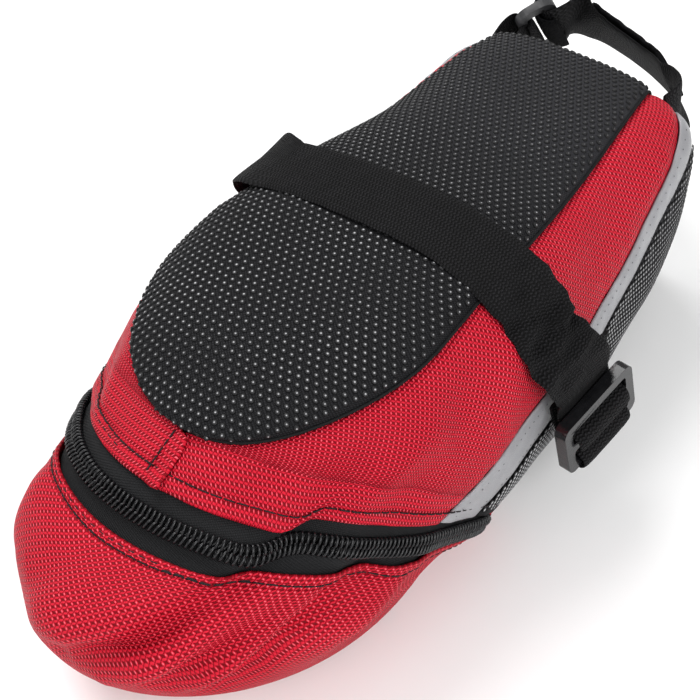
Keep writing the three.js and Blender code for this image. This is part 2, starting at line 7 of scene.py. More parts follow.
import bpy
import numpy as np
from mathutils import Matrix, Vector


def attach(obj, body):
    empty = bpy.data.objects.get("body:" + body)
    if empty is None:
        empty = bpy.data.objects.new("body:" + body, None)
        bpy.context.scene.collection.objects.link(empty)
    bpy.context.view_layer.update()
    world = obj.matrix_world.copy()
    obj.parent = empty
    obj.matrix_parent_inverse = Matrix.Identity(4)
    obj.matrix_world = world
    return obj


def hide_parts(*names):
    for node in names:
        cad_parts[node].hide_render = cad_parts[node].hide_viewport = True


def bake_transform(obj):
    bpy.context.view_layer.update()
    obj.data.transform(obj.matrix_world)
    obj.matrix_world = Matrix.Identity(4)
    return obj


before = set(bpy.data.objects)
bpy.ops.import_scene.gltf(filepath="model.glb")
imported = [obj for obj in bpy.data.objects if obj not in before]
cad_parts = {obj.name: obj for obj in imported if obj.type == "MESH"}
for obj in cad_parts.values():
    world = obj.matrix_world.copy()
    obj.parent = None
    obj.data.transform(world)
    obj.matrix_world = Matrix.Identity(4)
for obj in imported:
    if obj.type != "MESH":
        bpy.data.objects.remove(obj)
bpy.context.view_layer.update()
MM = 0.001

# ---- the bag's skin, in millimetres
HEM = 1.0
FLAP_HEM = 1.12
TAIL_END = 2.0
FRONT_Y = 46.0  # of the front face
# Each section: s, top y and z, bottom y and z, half width, widest at, squareness, bow.
STATIONS = np.array([
    (0.00, 0, 60, 0, 5, 31, 0.64, 3.0, 0),
    (0.04, -6, 66, -4, -0.5, 38, 0.60, 3.0, 0),
    (0.25, -56, 73, -36, -1.5, 45, 0.48, 3.0, 0),
    (0.50, -108, 79.5, -64, -1.5, 49, 0.44, 3.0, 2),
    (0.75, -156, 75, -86, -1, 48.5, 0.40, 2.9, 7),
    (1.00, -186.5, 60.5, -101, 2, 46.5, 0.32, 2.8, 12),
    (1.12, -197.5, 53, -106, 0.5, 46, 0.33, 2.8, 12),
    (1.26, -210.5, 50.5, -106.5, -0.5, 44, 0.36, 2.4, 7),
    (1.42, -221, 44, -107, -0.8, 43, 0.38, 2.1, 2),
    (1.60, -220, 31, -108, -0.8, 41.5, 0.38, 2.0, 0),
    (1.80, -210, 14, -109, -0.8, 39, 0.40, 2.0, 0),
    (1.92, -199, 4, -110, -0.8, 36, 0.42, 2.0, 0),
    (2.00, -189, -0.5, -112, -0.8, 32, 0.45, 2.0, 0),
])
TOP_Y, TOP_Z, BOTTOM_Y, BOTTOM_Z, HALF, WIDE, POWER, BOW = range(8)

TONGUE_FRONT = 0.8
TONGUE_RIGHT = (33.8, 21.5, 2.2)  # half width, half width at the front, power
TONGUE_LEFT = (42.5, 26.6, 2.5)
TONGUE_ROUND = 130.0
TONGUE_END = 174.5
TAPE_FRONT_Z = 58.0
TAPE_REAR_Z = 29.0
TAPE_REAR_Y = -128.0
TAPE_HALF_FRONT = 2.8
TAPE_HALF_REAR = 7.0
CORNER = 0.04
SIDES = (("left", -1), ("right", 1))  # with the sign of x there

ZIP_MIDDLE = 1.06
ZIP_SPAN = math.radians(100)


def section(s):
    """The values of the section at s, by a cubic through the stations."""
    s = np.asarray(s, float)
    at, values = STATIONS[:, 0], STATIONS[:, 1:]
    last = len(at) - 1
    before = np.maximum(np.arange(last + 1) - 1, 0)
    after = np.minimum(np.arange(last + 1) + 1, last)
    slope = (values[after] - values[before]) / (at[after] - at[before])[:, None]
    i = np.clip(np.searchsorted(at, s, side="left") - 1, 0, last - 1)
    run = (at[i + 1] - at[i])[..., None]
    t = (s - at[i])[..., None] / run
    rise = values[i + 1] - values[i]
    start_bend = slope[i] * run - rise
    end_bend = rise - slope[i + 1] * run
    return values[i] + rise * t + t * (1 - t) * (start_bend * (1 - t) + end_bend * t)


def signed_power(value, power):
    return np.sign(value) * np.abs(value) ** power


def skin(s, a, depth=0.0):
    """Points of the skin at sections s and angles a from the top centre, moved in by a depth."""
    s, a, depth = np.broadcast_arrays(np.asarray(s, float), a, depth)
    q = section(s)
    tall = np.hypot(q[..., TOP_Y] + q[..., BOW] - q[..., BOTTOM_Y], q[..., TOP_Z] - q[..., BOTTOM_Z])
    across = signed_power(np.sin(a), 2 / q[..., POWER])
    along = signed_power(np.cos(a), 2 / q[..., POWER])
    wide = q[..., WIDE]
    reach = np.where(along > 0, 1 - wide, wide) * tall - depth
    h = (wide * tall + reach * along) / tall
    y = q[..., BOTTOM_Y] + h * (q[..., TOP_Y] + q[..., BOW] - q[..., BOTTOM_Y])
    z = q[..., BOTTOM_Z] + h * (q[..., TOP_Z] - q[..., BOTTOM_Z])
    return np.stack([
        (q[..., HALF] - depth) * across,
        y - q[..., BOW] * h * (1 - across**2) + FRONT_Y,
        np.maximum(z, depth),
    ], axis=-1)


def unit(v):
    return v / np.maximum(np.linalg.norm(v, axis=-1, keepdims=True), 1e-9)


def bell(value, width):
    return np.exp(-((value / width) ** 2))


def lengths(points, axis=0):
    """Distance gone along one axis of a line or a grid of points."""
    steps = np.diff(points, axis=axis, prepend=points.take([0], axis))
    return np.cumsum(np.linalg.norm(steps, axis=-1), axis=axis)


def resample(line, gone, at):
    """Points of a line at the distances at, where gone holds its own points' distances."""
    return np.stack([np.interp(at, gone, line[:, k]) for k in range(3)], axis=-1)


def solve(low, high, fall, rounds=40):
    """Roots of functions that fall from low to high, all at once."""
    for _ in range(rounds):
        middle = (low + high) / 2
        above = fall(middle) > 0
        low, high = np.where(above, middle, low), np.where(above, high, middle)
    return (low + high) / 2


def station_at_top(y):
    """Section whose top centre is y behind the front face."""
    y = np.asarray(y, float)
    return solve(np.zeros_like(y), np.full_like(y, HEM), lambda s: section(s)[..., TOP_Y] - y)


def angle_of_half(s, x):
    """Angle at which the upper half of the skin is x from the centre line."""
    q = section(s)
    ratio = np.clip(np.abs(x) / q[..., HALF], 0, 1)
    return np.sign(x) * np.arcsin(ratio ** (q[..., POWER] / 2))


def tape_angle(s, edge, gap=0.0):
    """Angle of a line along the reflective tape: edge is 1 at its upper edge, -1 at its lower."""
    s = np.asarray(s, float)

    def above(a):
        p = skin(np.maximum(s, CORNER), a)
        back = (p[..., 1] - FRONT_Y) / TAPE_REAR_Y
        half = TAPE_HALF_FRONT + (TAPE_HALF_REAR - TAPE_HALF_FRONT) * back
        return p[..., 2] - TAPE_FRONT_Z - (TAPE_REAR_Z - TAPE_FRONT_Z) * back - edge * half - gap

    return solve(np.zeros_like(s), np.full_like(s, math.pi), above)


def tongue_edge(s, side):
    """Distance from the centre line to the top panel's edge; the worn panel lies fuller on its left."""
    wide, narrow, power = TONGUE_RIGHT if side > 0 else TONGUE_LEFT
    back = -section(s)[..., TOP_Y]
    front = np.sin(np.clip(back / TONGUE_ROUND, 0, 1) * math.pi / 2)
    t = np.clip((back - TONGUE_ROUND) / (TONGUE_END - TONGUE_ROUND), 0, 1)
    rounded = wide * (1 - t**power) ** (1 / power)
    return np.where(back < TONGUE_ROUND, narrow + (wide - narrow) * front, rounded)


# ---- folds of the worn cloth
# The zip is pushed up into a step at the upper right corner: the cloth on the step's left stands
# out and back, and the cloth on its right is drawn in and forward.
STEP_ANGLE = math.radians(33)
STEP_LEAN = math.radians(67)  # change of the step's angle with s
STEP_BACK = 0.016  # how far the cloth's sections move, on the step's left and on its right
STEP_FORWARD = 0.03
STEP_REACH = 0.12  # of the step along the bag
STEP_OUT = 1.2  # how far the cloth stands out on the step's left, and is drawn in on its right
STEP_IN = 1.6
CORNER_RADIUS = 46.0  # of the bag there, which turns angles into millimetres

# The padding fills the right front upper corner.
CORNER_ANGLE = math.radians(54)
CORNER_SPREAD = math.radians(26)
CORNER_RISE = 3.0

CALM_HEIGHT = 8.0  # the folds fade out below this height, and near the front face
CALM_FRONT = 0.1

# Creases and ridges: [(s, degrees), ...], height and half width in millimetres.
FOLDS = [
    ([(1.155, 22), (1.22, 17), (1.32, 11), (1.42, 2)], 2.8, 4.5),
    ([(1.17, 29), (1.26, 25), (1.36, 18), (1.47, 8), (1.56, -4)], -5.8, 4.2),
    ([(1.15, 38), (1.22, 36), (1.35, 31), (1.47, 24), (1.58, 14)], 2.8, 4.5),
    ([(1.22, 45), (1.32, 42), (1.44, 36), (1.56, 27)], -4.4, 3.5),
    ([(1.14, 53), (1.24, 50), (1.36, 46), (1.50, 39), (1.60, 31)], 2.7, 4.5),
    ([(1.14, 63), (1.24, 60), (1.34, 57), (1.48, 51), (1.62, 43)], -6.3, 4.6),
    ([(1.16, 78), (1.30, 75), (1.50, 68)], 3.1, 6.0),
    ([(1.13, -64), (1.25, -62), (1.42, -57), (1.58, -52)], -4.5, 6.5),
    ([(1.14, -34), (1.28, -38), (1.46, -42)], 2.4, 8.0),
    ([(1.16, -6), (1.27, -12), (1.40, -20), (1.52, -30)], -2.3, 7.0),
    ([(0.90, 0.5), (0.94, 0.0), (1.0, -1.5)], -0.9, 1.3),
    ([(0.90, 4.5), (0.95, 3.5), (1.0, 2.0)], 0.9, 2.6),
    ([(0.88, 20), (0.93, 17), (0.985, 14)], -1.2, 3.6),
    ([(0.84, 30), (0.91, 27), (0.985, 24)], 1.5, 3.4),
    ([(0.82, 40), (0.90, 36), (0.99, 33)], -1.8, 4.0),
    ([(0.76, 52), (0.86, 48), (0.95, 44)], 1.6, 4.4),
    ([(0.78, 66), (0.88, 61), (0.97, 56)], -1.5, 4.6),
    ([(0.62, 48), (0.70, 58), (0.80, 74)], -1.5, 5.0),
    ([(0.50, 50), (0.60, 62), (0.72, 80)], 1.4, 5.5),
    ([(0.86, -46), (0.93, -42), (0.99, -36)], -1.6, 4.6),
    ([(0.84, -28), (0.92, -27), (0.98, -24)], 1.2, 4.2),
    ([(0.60, -56), (0.74, -66), (0.88, -74)], -1.5, 6.5),
    ([(0.10, 44), (0.24, 52), (0.40, 62)], -1.1, 5.0),
    ([(0.06, -42), (0.26, -50), (0.48, -57), (0.62, -62)], -5.2, 17.0),
]
# Long soft waves: direction and wavelength in millimetres, phase, height.
WAVES = [
    ((0.8, 0.5, 0.3), 47, 0.4, 0.35),
    ((-0.5, 0.7, 0.5), 31, 1.9, 0.25),
    ((0.3, -0.4, 0.9), 23, 4.1, 0.16),
]


def step_distance(s, a):
    """Distance in millimetres from the step, to its right, and a blend from 0 to 1 across it."""
    distance = (a - STEP_ANGLE + STEP_LEAN * (s - HEM)) * CORNER_RADIUS
    softness = 1.9 + 2.4 * bell(s - ZIP_MIDDLE, 0.035)
    return distance, 0.5 + 0.5 * np.tanh(distance / softness)


def moved(s, a):
    """Section that the cloth at (s, a) has been pushed to by the step."""
    distance, right = step_distance(s, a)
    push = (1 - right) * STEP_BACK * bell(distance, 10) - right * STEP_FORWARD * bell(distance, 20)
    return s + push * bell(s - ZIP_MIDDLE, STEP_REACH)


def outwards(s, a):
    """Outward normals of the skin."""
    low, high = np.maximum(s - 0.01, 0), np.minimum(s + 0.01, TAIL_END)
    return unit(np.cross(skin(high, a) - skin(low, a), skin(s, a + 0.03) - skin(s, a - 0.03)))


def distance_to_line(points, line):
    """Distance from points to an open line, and how far along it the nearest place is, 0 to 1."""
    best = np.full(points.shape[:-1], 1e9)
    share = np.zeros(points.shape[:-1])
    parts = len(line) - 1
    for i in range(parts):
        way = line[i + 1] - line[i]
        t = np.clip(((points - line[i]) @ way) / (way @ way), 0, 1)
        gap = np.linalg.norm(points - line[i] - t[..., None] * way, axis=-1)
        nearer = gap < best
        best = np.where(nearer, gap, best)
        share = np.where(nearer, (i + t) / parts, share)
    return best, share


def drape(s, a, p):
    """Height of the cloth above the skin, from the step, the folds and the long waves."""
    distance, right = step_distance(s, a)
    step = (1 - right) * STEP_OUT * bell(distance, 12) - right * STEP_IN * bell(distance, 9)
    height = step * bell(s - ZIP_MIDDLE, 0.09)
    for corners, rise, width in FOLDS:
        at = np.array(corners)
        line = skin(at[:, 0], np.radians(at[:, 1]))
        gap, share = distance_to_line(p, line)
        swell = np.sqrt(np.sin(np.pi * np.clip(share, 0.06, 0.94)))
        height = height + rise * bell(gap, width) * swell
    for way, wave, phase, rise in WAVES:
        height = height + rise * np.sin(p @ unit(np.array(way)) * 2 * math.pi / wave + phase)
    calm = np.clip(p[..., 2] / CALM_HEIGHT, 0, 1) * np.clip((s - 0.02) / CALM_FRONT, 0, 1)
    corner = CORNER_RISE * bell(a - CORNER_ANGLE, CORNER_SPREAD)
    corner = corner * np.clip(s / 0.05, 0, 1) * bell(s, 0.2)
    return height * calm + corner


def cloth(s, a, depth=0.0):
    """Points of the folded cloth."""
    s, a, depth = np.broadcast_arrays(np.asarray(s, float), a, depth)
    here = moved(s, a)
    p = skin(here, a, depth)
    p = p + outwards(here, a) * drape(s, a, skin(here, a))[..., None]
    p[..., 2] = np.maximum(p[..., 2], np.maximum(depth, 0))
    return p


def even_angles(s, start, end, columns):
    """Angles from start to end at equal steps along each section: rows x columns."""
    share = np.linspace(0, 1, 181)
    fine = start[:, None] + (end - start)[:, None] * share
    gone = lengths(skin(s[:, None], fine), axis=1)
    wanted = np.linspace(0, 1, columns)
    return np.array([np.interp(wanted * g[-1], g, f) for g, f in zip(gone, fine)])


# ---- meshes
def add_object(name, data):
    made = bpy.data.objects.new(name, data)
    bpy.context.collection.objects.link(made)
    return made


def make_object(name, points, faces, flat=None):
    """A smooth mesh from millimetres. flat holds the cloth's own flat coordinates of each point."""
    mesh = bpy.data.meshes.new(name)
    faces = [list(map(int, face)) for face in faces]
    mesh.from_pydata((np.asarray(points) * MM).tolist(), [], faces)
    if flat is not None:
        layer = mesh.uv_layers.new(name="flat")
        corners = flat[np.concatenate(faces)]
        layer.data.foreach_set("uv", corners.ravel().astype(np.float32))
    mesh.polygons.foreach_set("use_smooth", [True] * len(mesh.polygons))
    mesh.update()
    return add_object(name, mesh)


def grid_faces(rows, columns):
    i = np.arange(rows - 1)[:, None] * columns + np.arange(columns - 1)
    return np.stack([i, i + 1, i + 1 + columns, i + columns], axis=-1).reshape(-1, 4)


def ring_faces(rows, columns):
    """Faces between rows of points that wrap around."""
    i = np.arange(rows - 1)[:, None] * columns
    j = np.arange(columns)
    k = (j + 1) % columns
    return np.stack([i + j, i + k, i + k + columns, i + j + columns], axis=-1).reshape(-1, 4)


def end_faces(rows, columns):
    """The faces that close the first and the last of those rows."""
    first = np.arange(columns)
    return [first[::-1], (rows - 1) * columns + first]


def flatten(grid):
    """Flat coordinates of a grid of points: millimetres from its middle column and first row."""
    across = lengths(grid, 1)
    middle = grid.shape[1] // 2
    return np.stack([across - across[:, middle : middle + 1], lengths(grid, 0)], axis=-1)


def signed_volume(points, faces):
    a, b, c, d = (points[faces[:, k]] for k in range(4))
    return (np.cross(a, b) * c).sum() + (np.cross(a, c) * d).sum()


BAG_MIDDLE = np.array((0.0, -62.0, 36.0))


def grid_normals(grid):
    """Unit normals of a grid of points, pointing away from the bag's middle."""
    normal = unit(np.cross(np.gradient(grid, axis=0), np.gradient(grid, axis=1)))
    return normal if (normal * (grid - BAG_MIDDLE)).sum() > 0 else -normal


def thick(name, outer, inner, upper, edge, inside, flat, reach, caps=()):
    """A closed sheet between two grids of points, with a rounded rim that reaches past its edge."""
    top, low, spot = outer.reshape(-1, 3), inner.reshape(-1, 3), flat.reshape(-1, 2)
    count = len(top)
    rim_points = (top[edge] + low[edge]) / 2 + unit(top[edge] - top[inside]) * reach
    rim = 2 * count + np.arange(len(edge))
    after, rim_after = np.roll(edge, -1), np.roll(rim, -1)
    to_rim = np.stack([after, edge, rim, rim_after], axis=-1)
    from_rim = np.stack([rim_after, rim, count + edge, count + after], axis=-1)
    points = np.vstack([top, low, rim_points])
    quads = np.vstack([upper, upper[:, ::-1] + count, to_rim, from_rim])
    faces = [*quads, *caps]
    if signed_volume(points, quads) < 0:
        faces = [face[::-1] for face in faces]
    return make_object(name, points, faces, np.vstack([spot, spot, spot[edge]]))


RIM = 0.4  # of the thickness


def shell(name, outer, thickness, flat):
    """A closed sheet of cloth below a grid of points."""
    rows, columns = outer.shape[:2]
    inner = outer - grid_normals(outer) * thickness
    inner[..., 2] = np.maximum(inner[..., 2], 0.2)
    index = np.arange(rows * columns).reshape(rows, columns)
    edge = np.r_[index[0, :-1], index[:-1, -1], index[-1, :0:-1], index[:0:-1, 0]]
    inside = np.r_[index[1, :-1], index[:-1, -2], index[-2, :0:-1], index[:0:-1, 1]]
    return thick(name, outer, inner, grid_faces(rows, columns), edge, inside, flat, thickness * RIM)


def shell_cup(name, outer, inner, flat):
    """A closed cup between two grids that wrap around in columns; the last row is its middle."""
    rows, columns = outer.shape[:2]
    count = rows * columns
    edge = np.arange(columns)
    reach = np.linalg.norm(outer[0] - inner[0], axis=-1, keepdims=True) * RIM
    caps = [count - columns + edge, (2 * count - columns + edge)[::-1]]
    upper = ring_faces(rows, columns)
    return thick(name, outer, inner, upper, edge, columns + edge, flat, reach, caps)


def tube(points, radius, sides=6, closed_ends=True):
    """Points and faces of a round tube along a line."""
    points = np.asarray(points, float)
    along = unit(np.gradient(points, axis=0))
    side = unit(np.cross(along[0], [0.31, 0.52, 0.79]))
    turn = np.arange(sides) * 2 * math.pi / sides
    rings = []
    for p, t in zip(points, along):
        side = unit(side - t * (side @ t))
        up = np.cross(t, side)
        rings.append(p + radius * (np.cos(turn)[:, None] * side + np.sin(turn)[:, None] * up))
    size = len(points), sides
    ends = end_faces(*size) if closed_ends else []
    return np.concatenate(rings), [*ring_faces(*size), *ends]


def joined(parts):
    """One list of points and one of faces from several."""
    points, faces, start = [], [], 0
    for p, f in parts:
        points.append(p)
        faces += [face + start for face in f]
        start += len(p)
    return np.concatenate(points), faces


# ---- colours, linear
RED = (0.61, 0.012, 0.032)
# painted highlight on the tops of the red yarns
RED_PAINTED_HIGHLIGHT = (0.87, 0.20, 0.245)
# painted shade in the gaps between the red yarns
RED_PAINTED_SHADE = (0.17, 0.001, 0.005)
COATED = (0.0065, 0.0065, 0.0075)
# painted shade in the hollows of the coated cloth's weave and at the foot of its dots
COATED_PAINTED_SHADE = (0.004, 0.004, 0.0045)
# painted reflection on the coated cloth, strongest towards the front of the bag
COATED_PAINTED_REFLECTION = (0.022, 0.022, 0.025)
DOT = (0.02, 0.02, 0.022)
# painted highlight on the tops of the top panel's dots, and down the sides of the base panel's dots
DOT_PAINTED_HIGHLIGHT = (0.42, 0.42, 0.43)
# brighter painted highlight on the tops of the base panel's dots
BASE_DOT_PAINTED_HIGHLIGHT = (0.5, 0.5, 0.5)
WEBBING = (0.0052, 0.0050, 0.0056)
TAPE_BLACK = (0.009, 0.0092, 0.010)
COIL = (0.006, 0.006, 0.007)
PLASTIC = (0.009, 0.009, 0.010)
METAL = (0.022, 0.022, 0.024)
THREAD = (0.008, 0.005, 0.006)
REFLECTIVE = (0.30, 0.30, 0.315)
HOLE = (0.05, 0.05, 0.055)
LINING = (0.013, 0.013, 0.015)
FOAM = (0.62, 0.60, 0.56)
BOARD = (0.72, 0.72, 0.70)
PILE = (0.004, 0.004, 0.0045)
RING_BLACK = (0.03, 0.03, 0.032)
FLOOR = (0.93, 0.93, 0.93)


def times(color, factor):
    return tuple(c * factor for c in color)


# ---- materials
# Where the painted reflection of the coated cloth and its dots changes, towards the front of the bag.
FADE_FROM, FADE_TO = -0.045, 0.035  # y, in metres


class Paint:
    """A material whose nodes are added one at a time."""

    def __init__(self, name, color, roughness, **shader):
        self.material = bpy.data.materials.new(name)
        self.material.use_nodes = True
        self.tree = self.material.node_tree
        self.shader = self.tree.nodes["Principled BSDF"]
        self.shader.inputs["Base Color"].default_value = (*color, 1)
        self.shader.inputs["Roughness"].default_value = roughness
        for key, value in shader.items():
            self.shader.inputs[key.replace("_", " ")].default_value = value

    def add(self, kind, output, inputs):
        """An output of a new node, whose inputs are set by name."""
        made = self.tree.nodes.new("ShaderNode" + kind)
        for name, value in inputs.items():
            self.connect(value, made.inputs[name])
        return made.outputs[output]

    def connect(self, value, socket):
        if isinstance(value, bpy.types.NodeSocket):
            self.tree.links.new(value, socket)
        else:
            socket.default_value = value

    def math(self, operation, *values):
        made = self.tree.nodes.new("ShaderNodeMath")
        made.operation = operation
        for value, socket in zip(values, made.inputs):
            self.connect(value, socket)
        return made.outputs[0]

    def weigh(self, *parts):
        """Sum of (number, weight) pairs."""
        *rest, last = parts
        total = self.math("MULTIPLY", *last)
        for value, weight in reversed(rest):
            total = self.math("MULTIPLY_ADD", value, weight, total)
        return total

    def arch(self, share):
        """Half a wave: 0 where share is 0 or 1, and 1 where it is a half."""
        return self.math("SINE", self.math("MULTIPLY", share, math.pi))

    def blend(self, factor, low, high):
        """low where factor is 0 and high where it is 1, for numbers."""
        return self.math("MULTIPLY_ADD", factor, self.math("SUBTRACT", high, low), low)

    def flat(self):
        """The cloth's own flat coordinates, in millimetres."""
        made = self.tree.nodes.new("ShaderNodeUVMap")
        made.uv_map = "flat"
        return self.split(made.outputs[0])[:2]

    def split(self, vector):
        made = self.tree.nodes.new("ShaderNodeSeparateXYZ")
        self.connect(vector, made.inputs[0])
        return made.outputs

    def place(self):
        """Position on the object, in metres."""
        return self.tree.nodes.new("ShaderNodeTexCoord").outputs["Object"]

    def forward(self):
        """0 from the saddle strap back, rising to 1 at the front of the bag; the coated materials paint
        their change of reflection along it.
        """
        y = self.split(self.place())[1]
        return self.add("MapRange", "Result", {"Value": y, "From Min": FADE_FROM, "From Max": FADE_TO})

    def noise(self, scale, detail=3.0):
        inputs = {"Vector": self.place(), "Scale": scale, "Detail": detail, "Roughness": 0.55}
        return self.add("TexNoise", "Fac", inputs)

    def ramp(self, factor, *stops):
        """Base colour along a factor: (position, colour) stops."""
        made = self.tree.nodes.new("ShaderNodeValToRGB")
        self.connect(factor, made.inputs["Fac"])
        points = made.color_ramp.elements
        while len(points) < len(stops):
            points.new(0.5)
        for point, (position, color) in zip(points, stops):
            point.position = position
            point.color = (*color, 1)
        self.connect(made.outputs["Color"], self.shader.inputs["Base Color"])

    def rough(self, socket):
        self.connect(socket, self.shader.inputs["Roughness"])

    def bump(self, height, distance):
        """Bump of a height from 0 to 1, distance in metres."""
        inputs = {"Strength": 1.0, "Distance": distance, "Height": height}
        self.connect(self.add("Bump", "Normal", inputs), self.shader.inputs["Normal"])

    def weave(self, pitch_u, pitch_v, turn=0.0):
        """Plain weave: 1 where the weft is on top and 0 where the warp is, and the place in a cell."""
        u, v = self.flat()
        if turn:
            cos, sin = math.cos(turn), math.sin(turn)
            u, v = (
                self.math("SUBTRACT", self.math("MULTIPLY", u, cos), self.math("MULTIPLY", v, sin)),
                self.math("ADD", self.math("MULTIPLY", u, sin), self.math("MULTIPLY", v, cos)),
            )
        u = self.math("DIVIDE", u, pitch_u)
        v = self.math("DIVIDE", v, pitch_v)
        cell = self.math("ADD", self.math("FLOOR", u), self.math("FLOOR", v))
        return self.math("FLOORED_MODULO", cell, 2.0), self.math("FRACT", u), self.math("FRACT", v)

    def yarns(self, pitch_u, pitch_v, turn=0.0):
        """Height of the round yarns of a plain weave."""
        weft, u, v = self.weave(pitch_u, pitch_v, turn)
        round_u, round_v = self.arch(u), self.arch(v)
        heights = [
            self.math(
                "MULTIPLY",
                self.math("POWER", over, 0.6),
                self.math("MULTIPLY_ADD", along, 0.65, 0.35),
            )
            for over, along in ((round_u, round_v), (round_v, round_u))
        ]
        return self.blend(weft, *heights)


def red_cloth():
    """Coarse plain-woven polyester: slanted floats with a painted highlight, brighter in the weft and dimmer
    in the warp, and painted shade between the rows.
    """
    p = Paint("red_cloth", RED, 0.5, Specular_IOR_Level=0.1)
    weft, u, v = p.weave(1.04, 0.80)
    slope = p.blend(weft, -0.5, 0.5)
    lean = p.math("MULTIPLY", p.math("SUBTRACT", u, 0.5), slope)
    off = p.math("SUBTRACT", p.math("SUBTRACT", v, 0.5), lean)
    near = p.math("MINIMUM", p.math("ABSOLUTE", off), 0.5)
    ridge = p.math("POWER", p.math("COSINE", p.math("MULTIPLY", near, math.pi)), 0.8)
    height = p.math("MULTIPLY", ridge, p.math("POWER", p.arch(u), 0.45))
    height = p.blend(weft, p.math("MULTIPLY", height, 0.74), height)
    patch = p.noise(42, 2)
    grain = p.noise(2600, 2)
    tone = p.weigh((height, 0.82), (patch, 0.14), (grain, 0.10))
    # Painted light and shade of the weave: the yarn tops get a painted highlight and the gaps between rows
    # painted shade, varied by random patches and grain.
    p.ramp(tone, (0.20, RED_PAINTED_SHADE), (0.56, RED), (0.78, RED), (1.0, RED_PAINTED_HIGHLIGHT))
    p.bump(p.math("MULTIPLY_ADD", grain, 0.10, height), 0.00040)
    return p.material


def coated_cloth():
    """Black coated cloth with a fine embossed weave; its raised dots are meshes of their own."""
    p = Paint("coated_cloth", COATED, 0.65, Specular_IOR_Level=0.12)
    height = p.yarns(0.62, 0.62, math.radians(45))
    grain = p.noise(2200, 3)
    wear = p.noise(30, 3)
    # The yarn tops are painted lighter and the hollows darker, as painted shade; the wear noise varies the
    # tone at random.
    tone = p.weigh((height, 0.45), (wear, 0.3), (grain, 0.25))
    # Painted reflection: lighter towards the front of the bag, where the cloth is seen at a grazing angle.
    tone = p.math("MULTIPLY_ADD", p.forward(), 0.6, tone)
    p.ramp(tone, (0.2, COATED_PAINTED_SHADE), (0.55, COATED), (0.95, COATED_PAINTED_REFLECTION))
    p.rough(p.blend(tone, 0.75, 0.5))
    p.bump(p.math("MULTIPLY_ADD", grain, 0.25, height), 0.00015)
    return p.material


def coated_dot(name, top, side):
    """Raised dots with a painted highlight on top, where they are also smoother, fading to painted shade at
    the foot: u runs from 0 at the top to 1 at the foot.
    """
    p = Paint(name, DOT, 0.4, Specular_IOR_Level=0.3)
    out = p.flat()[0]
    # noise that makes the dots' painted highlight patchy
    patchy_highlight = p.noise(55, 3)
    grain = p.noise(1800, 3)
    tone = p.math("MULTIPLY_ADD", patchy_highlight, 0.35, p.math("MULTIPLY_ADD", grain, 0.25, -0.3))
    tone = p.math("ADD", out, p.math("MULTIPLY_ADD", p.forward(), 0.2, tone))
    # The top colour is a painted highlight, fading through the side colour into painted shade at the foot;
    # towards the front of the bag the highlight is painted dimmer.
    p.ramp(tone, (0.06, top), (0.33, side), (0.75, COATED_PAINTED_SHADE))
    p.rough(p.blend(out, 0.35, 0.65))
    p.bump(grain, 0.00006)
    return p.material


def webbing(name, light=WEBBING, rib=0.9):
    """Ribbed webbing: rows of slanted floats across the strap, and loose fibres, with a painted highlight on
    the ribs and painted shade between them.
    """
    p = Paint(name, light, 0.75, Specular_IOR_Level=0.14)
    u, v = p.flat()
    column = p.math("DIVIDE", u, 0.95)
    side = p.math("FLOORED_MODULO", p.math("FLOOR", column), 2.0)
    lean = p.math("MULTIPLY", p.math("FRACT", column), p.blend(side, 0.3, -0.3))
    row = p.math("FRACT", p.math("ADD", p.math("DIVIDE", v, rib), lean))
    across = p.math("MULTIPLY_ADD", p.arch(p.math("FRACT", column)), 0.35, 0.65)
    height = p.math("MULTIPLY", p.arch(row), across)
    grain = p.noise(3000, 3)
    fibres = p.noise(260, 4)
    tone = p.weigh((height, 0.6), (grain, 0.25), (fibres, 0.2))
    # painted shade between the ribs and a painted highlight on their tops, from the rib height
    p.ramp(tone, (0.25, times(light, 0.2)), (0.7, light), (0.97, times(light, 4.6)))
    p.bump(p.math("MULTIPLY_ADD", grain, 0.3, height), 0.0005)
    return p.material


def zip_tape_cloth():
    p = Paint("zip_tape_cloth", TAPE_BLACK, 0.75, Specular_IOR_Level=0.2)
    height = p.yarns(0.5, 0.36, math.radians(20))
    tone = p.weigh((height, 0.6), (p.noise(2600, 3), 0.4))
    # Painted shade of the weave: yarn tops lighter and gaps darker, with a random tone from the noise.
    p.ramp(tone, (0.2, times(TAPE_BLACK, 0.5)), (0.9, times(TAPE_BLACK, 1.9)))
    p.bump(height, 0.00015)
    return p.material


def moulded(name, color, roughness):
    """Glossy moulded plastic with faint scuffs."""
    p = Paint(name, color, roughness, Specular_IOR_Level=0.4)
    scuff = p.noise(420, 4)
    p.rough(p.blend(scuff, roughness * 0.75, roughness * 1.5))
    p.ramp(scuff, (0.3, times(color, 0.8)), (0.75, times(color, 1.4)))
    p.bump(p.noise(900, 3), 0.00004)
    return p.material


def grainy(name, color, roughness, scale, detail, dark, light, bump, **shader):
    """A material with one fine grain. dark and light are (position, share of the colour)."""
    p = Paint(name, color, roughness, **shader)
    grain = p.noise(scale, detail)
    p.ramp(grain, *((position, times(color, share)) for position, share in (dark, light)))
    if bump:
        p.bump(grain, bump)
    return p.material


def reflective():
    """Grey retro-reflective cloth: a fine weave and faint creases."""
    p = Paint("reflective", REFLECTIVE, 0.4, Specular_IOR_Level=0.6, Metallic=0.15)
    height = p.yarns(0.42, 0.42)
    crease = p.noise(140, 4)
    tone = p.weigh((height, 0.25), (crease, 0.75))
    p.ramp(tone, (0.2, times(REFLECTIVE, 0.72)), (0.8, times(REFLECTIVE, 1.15)))
    p.bump(p.math("MULTIPLY_ADD", height, 0.3, crease), 0.0002)
    return p.material


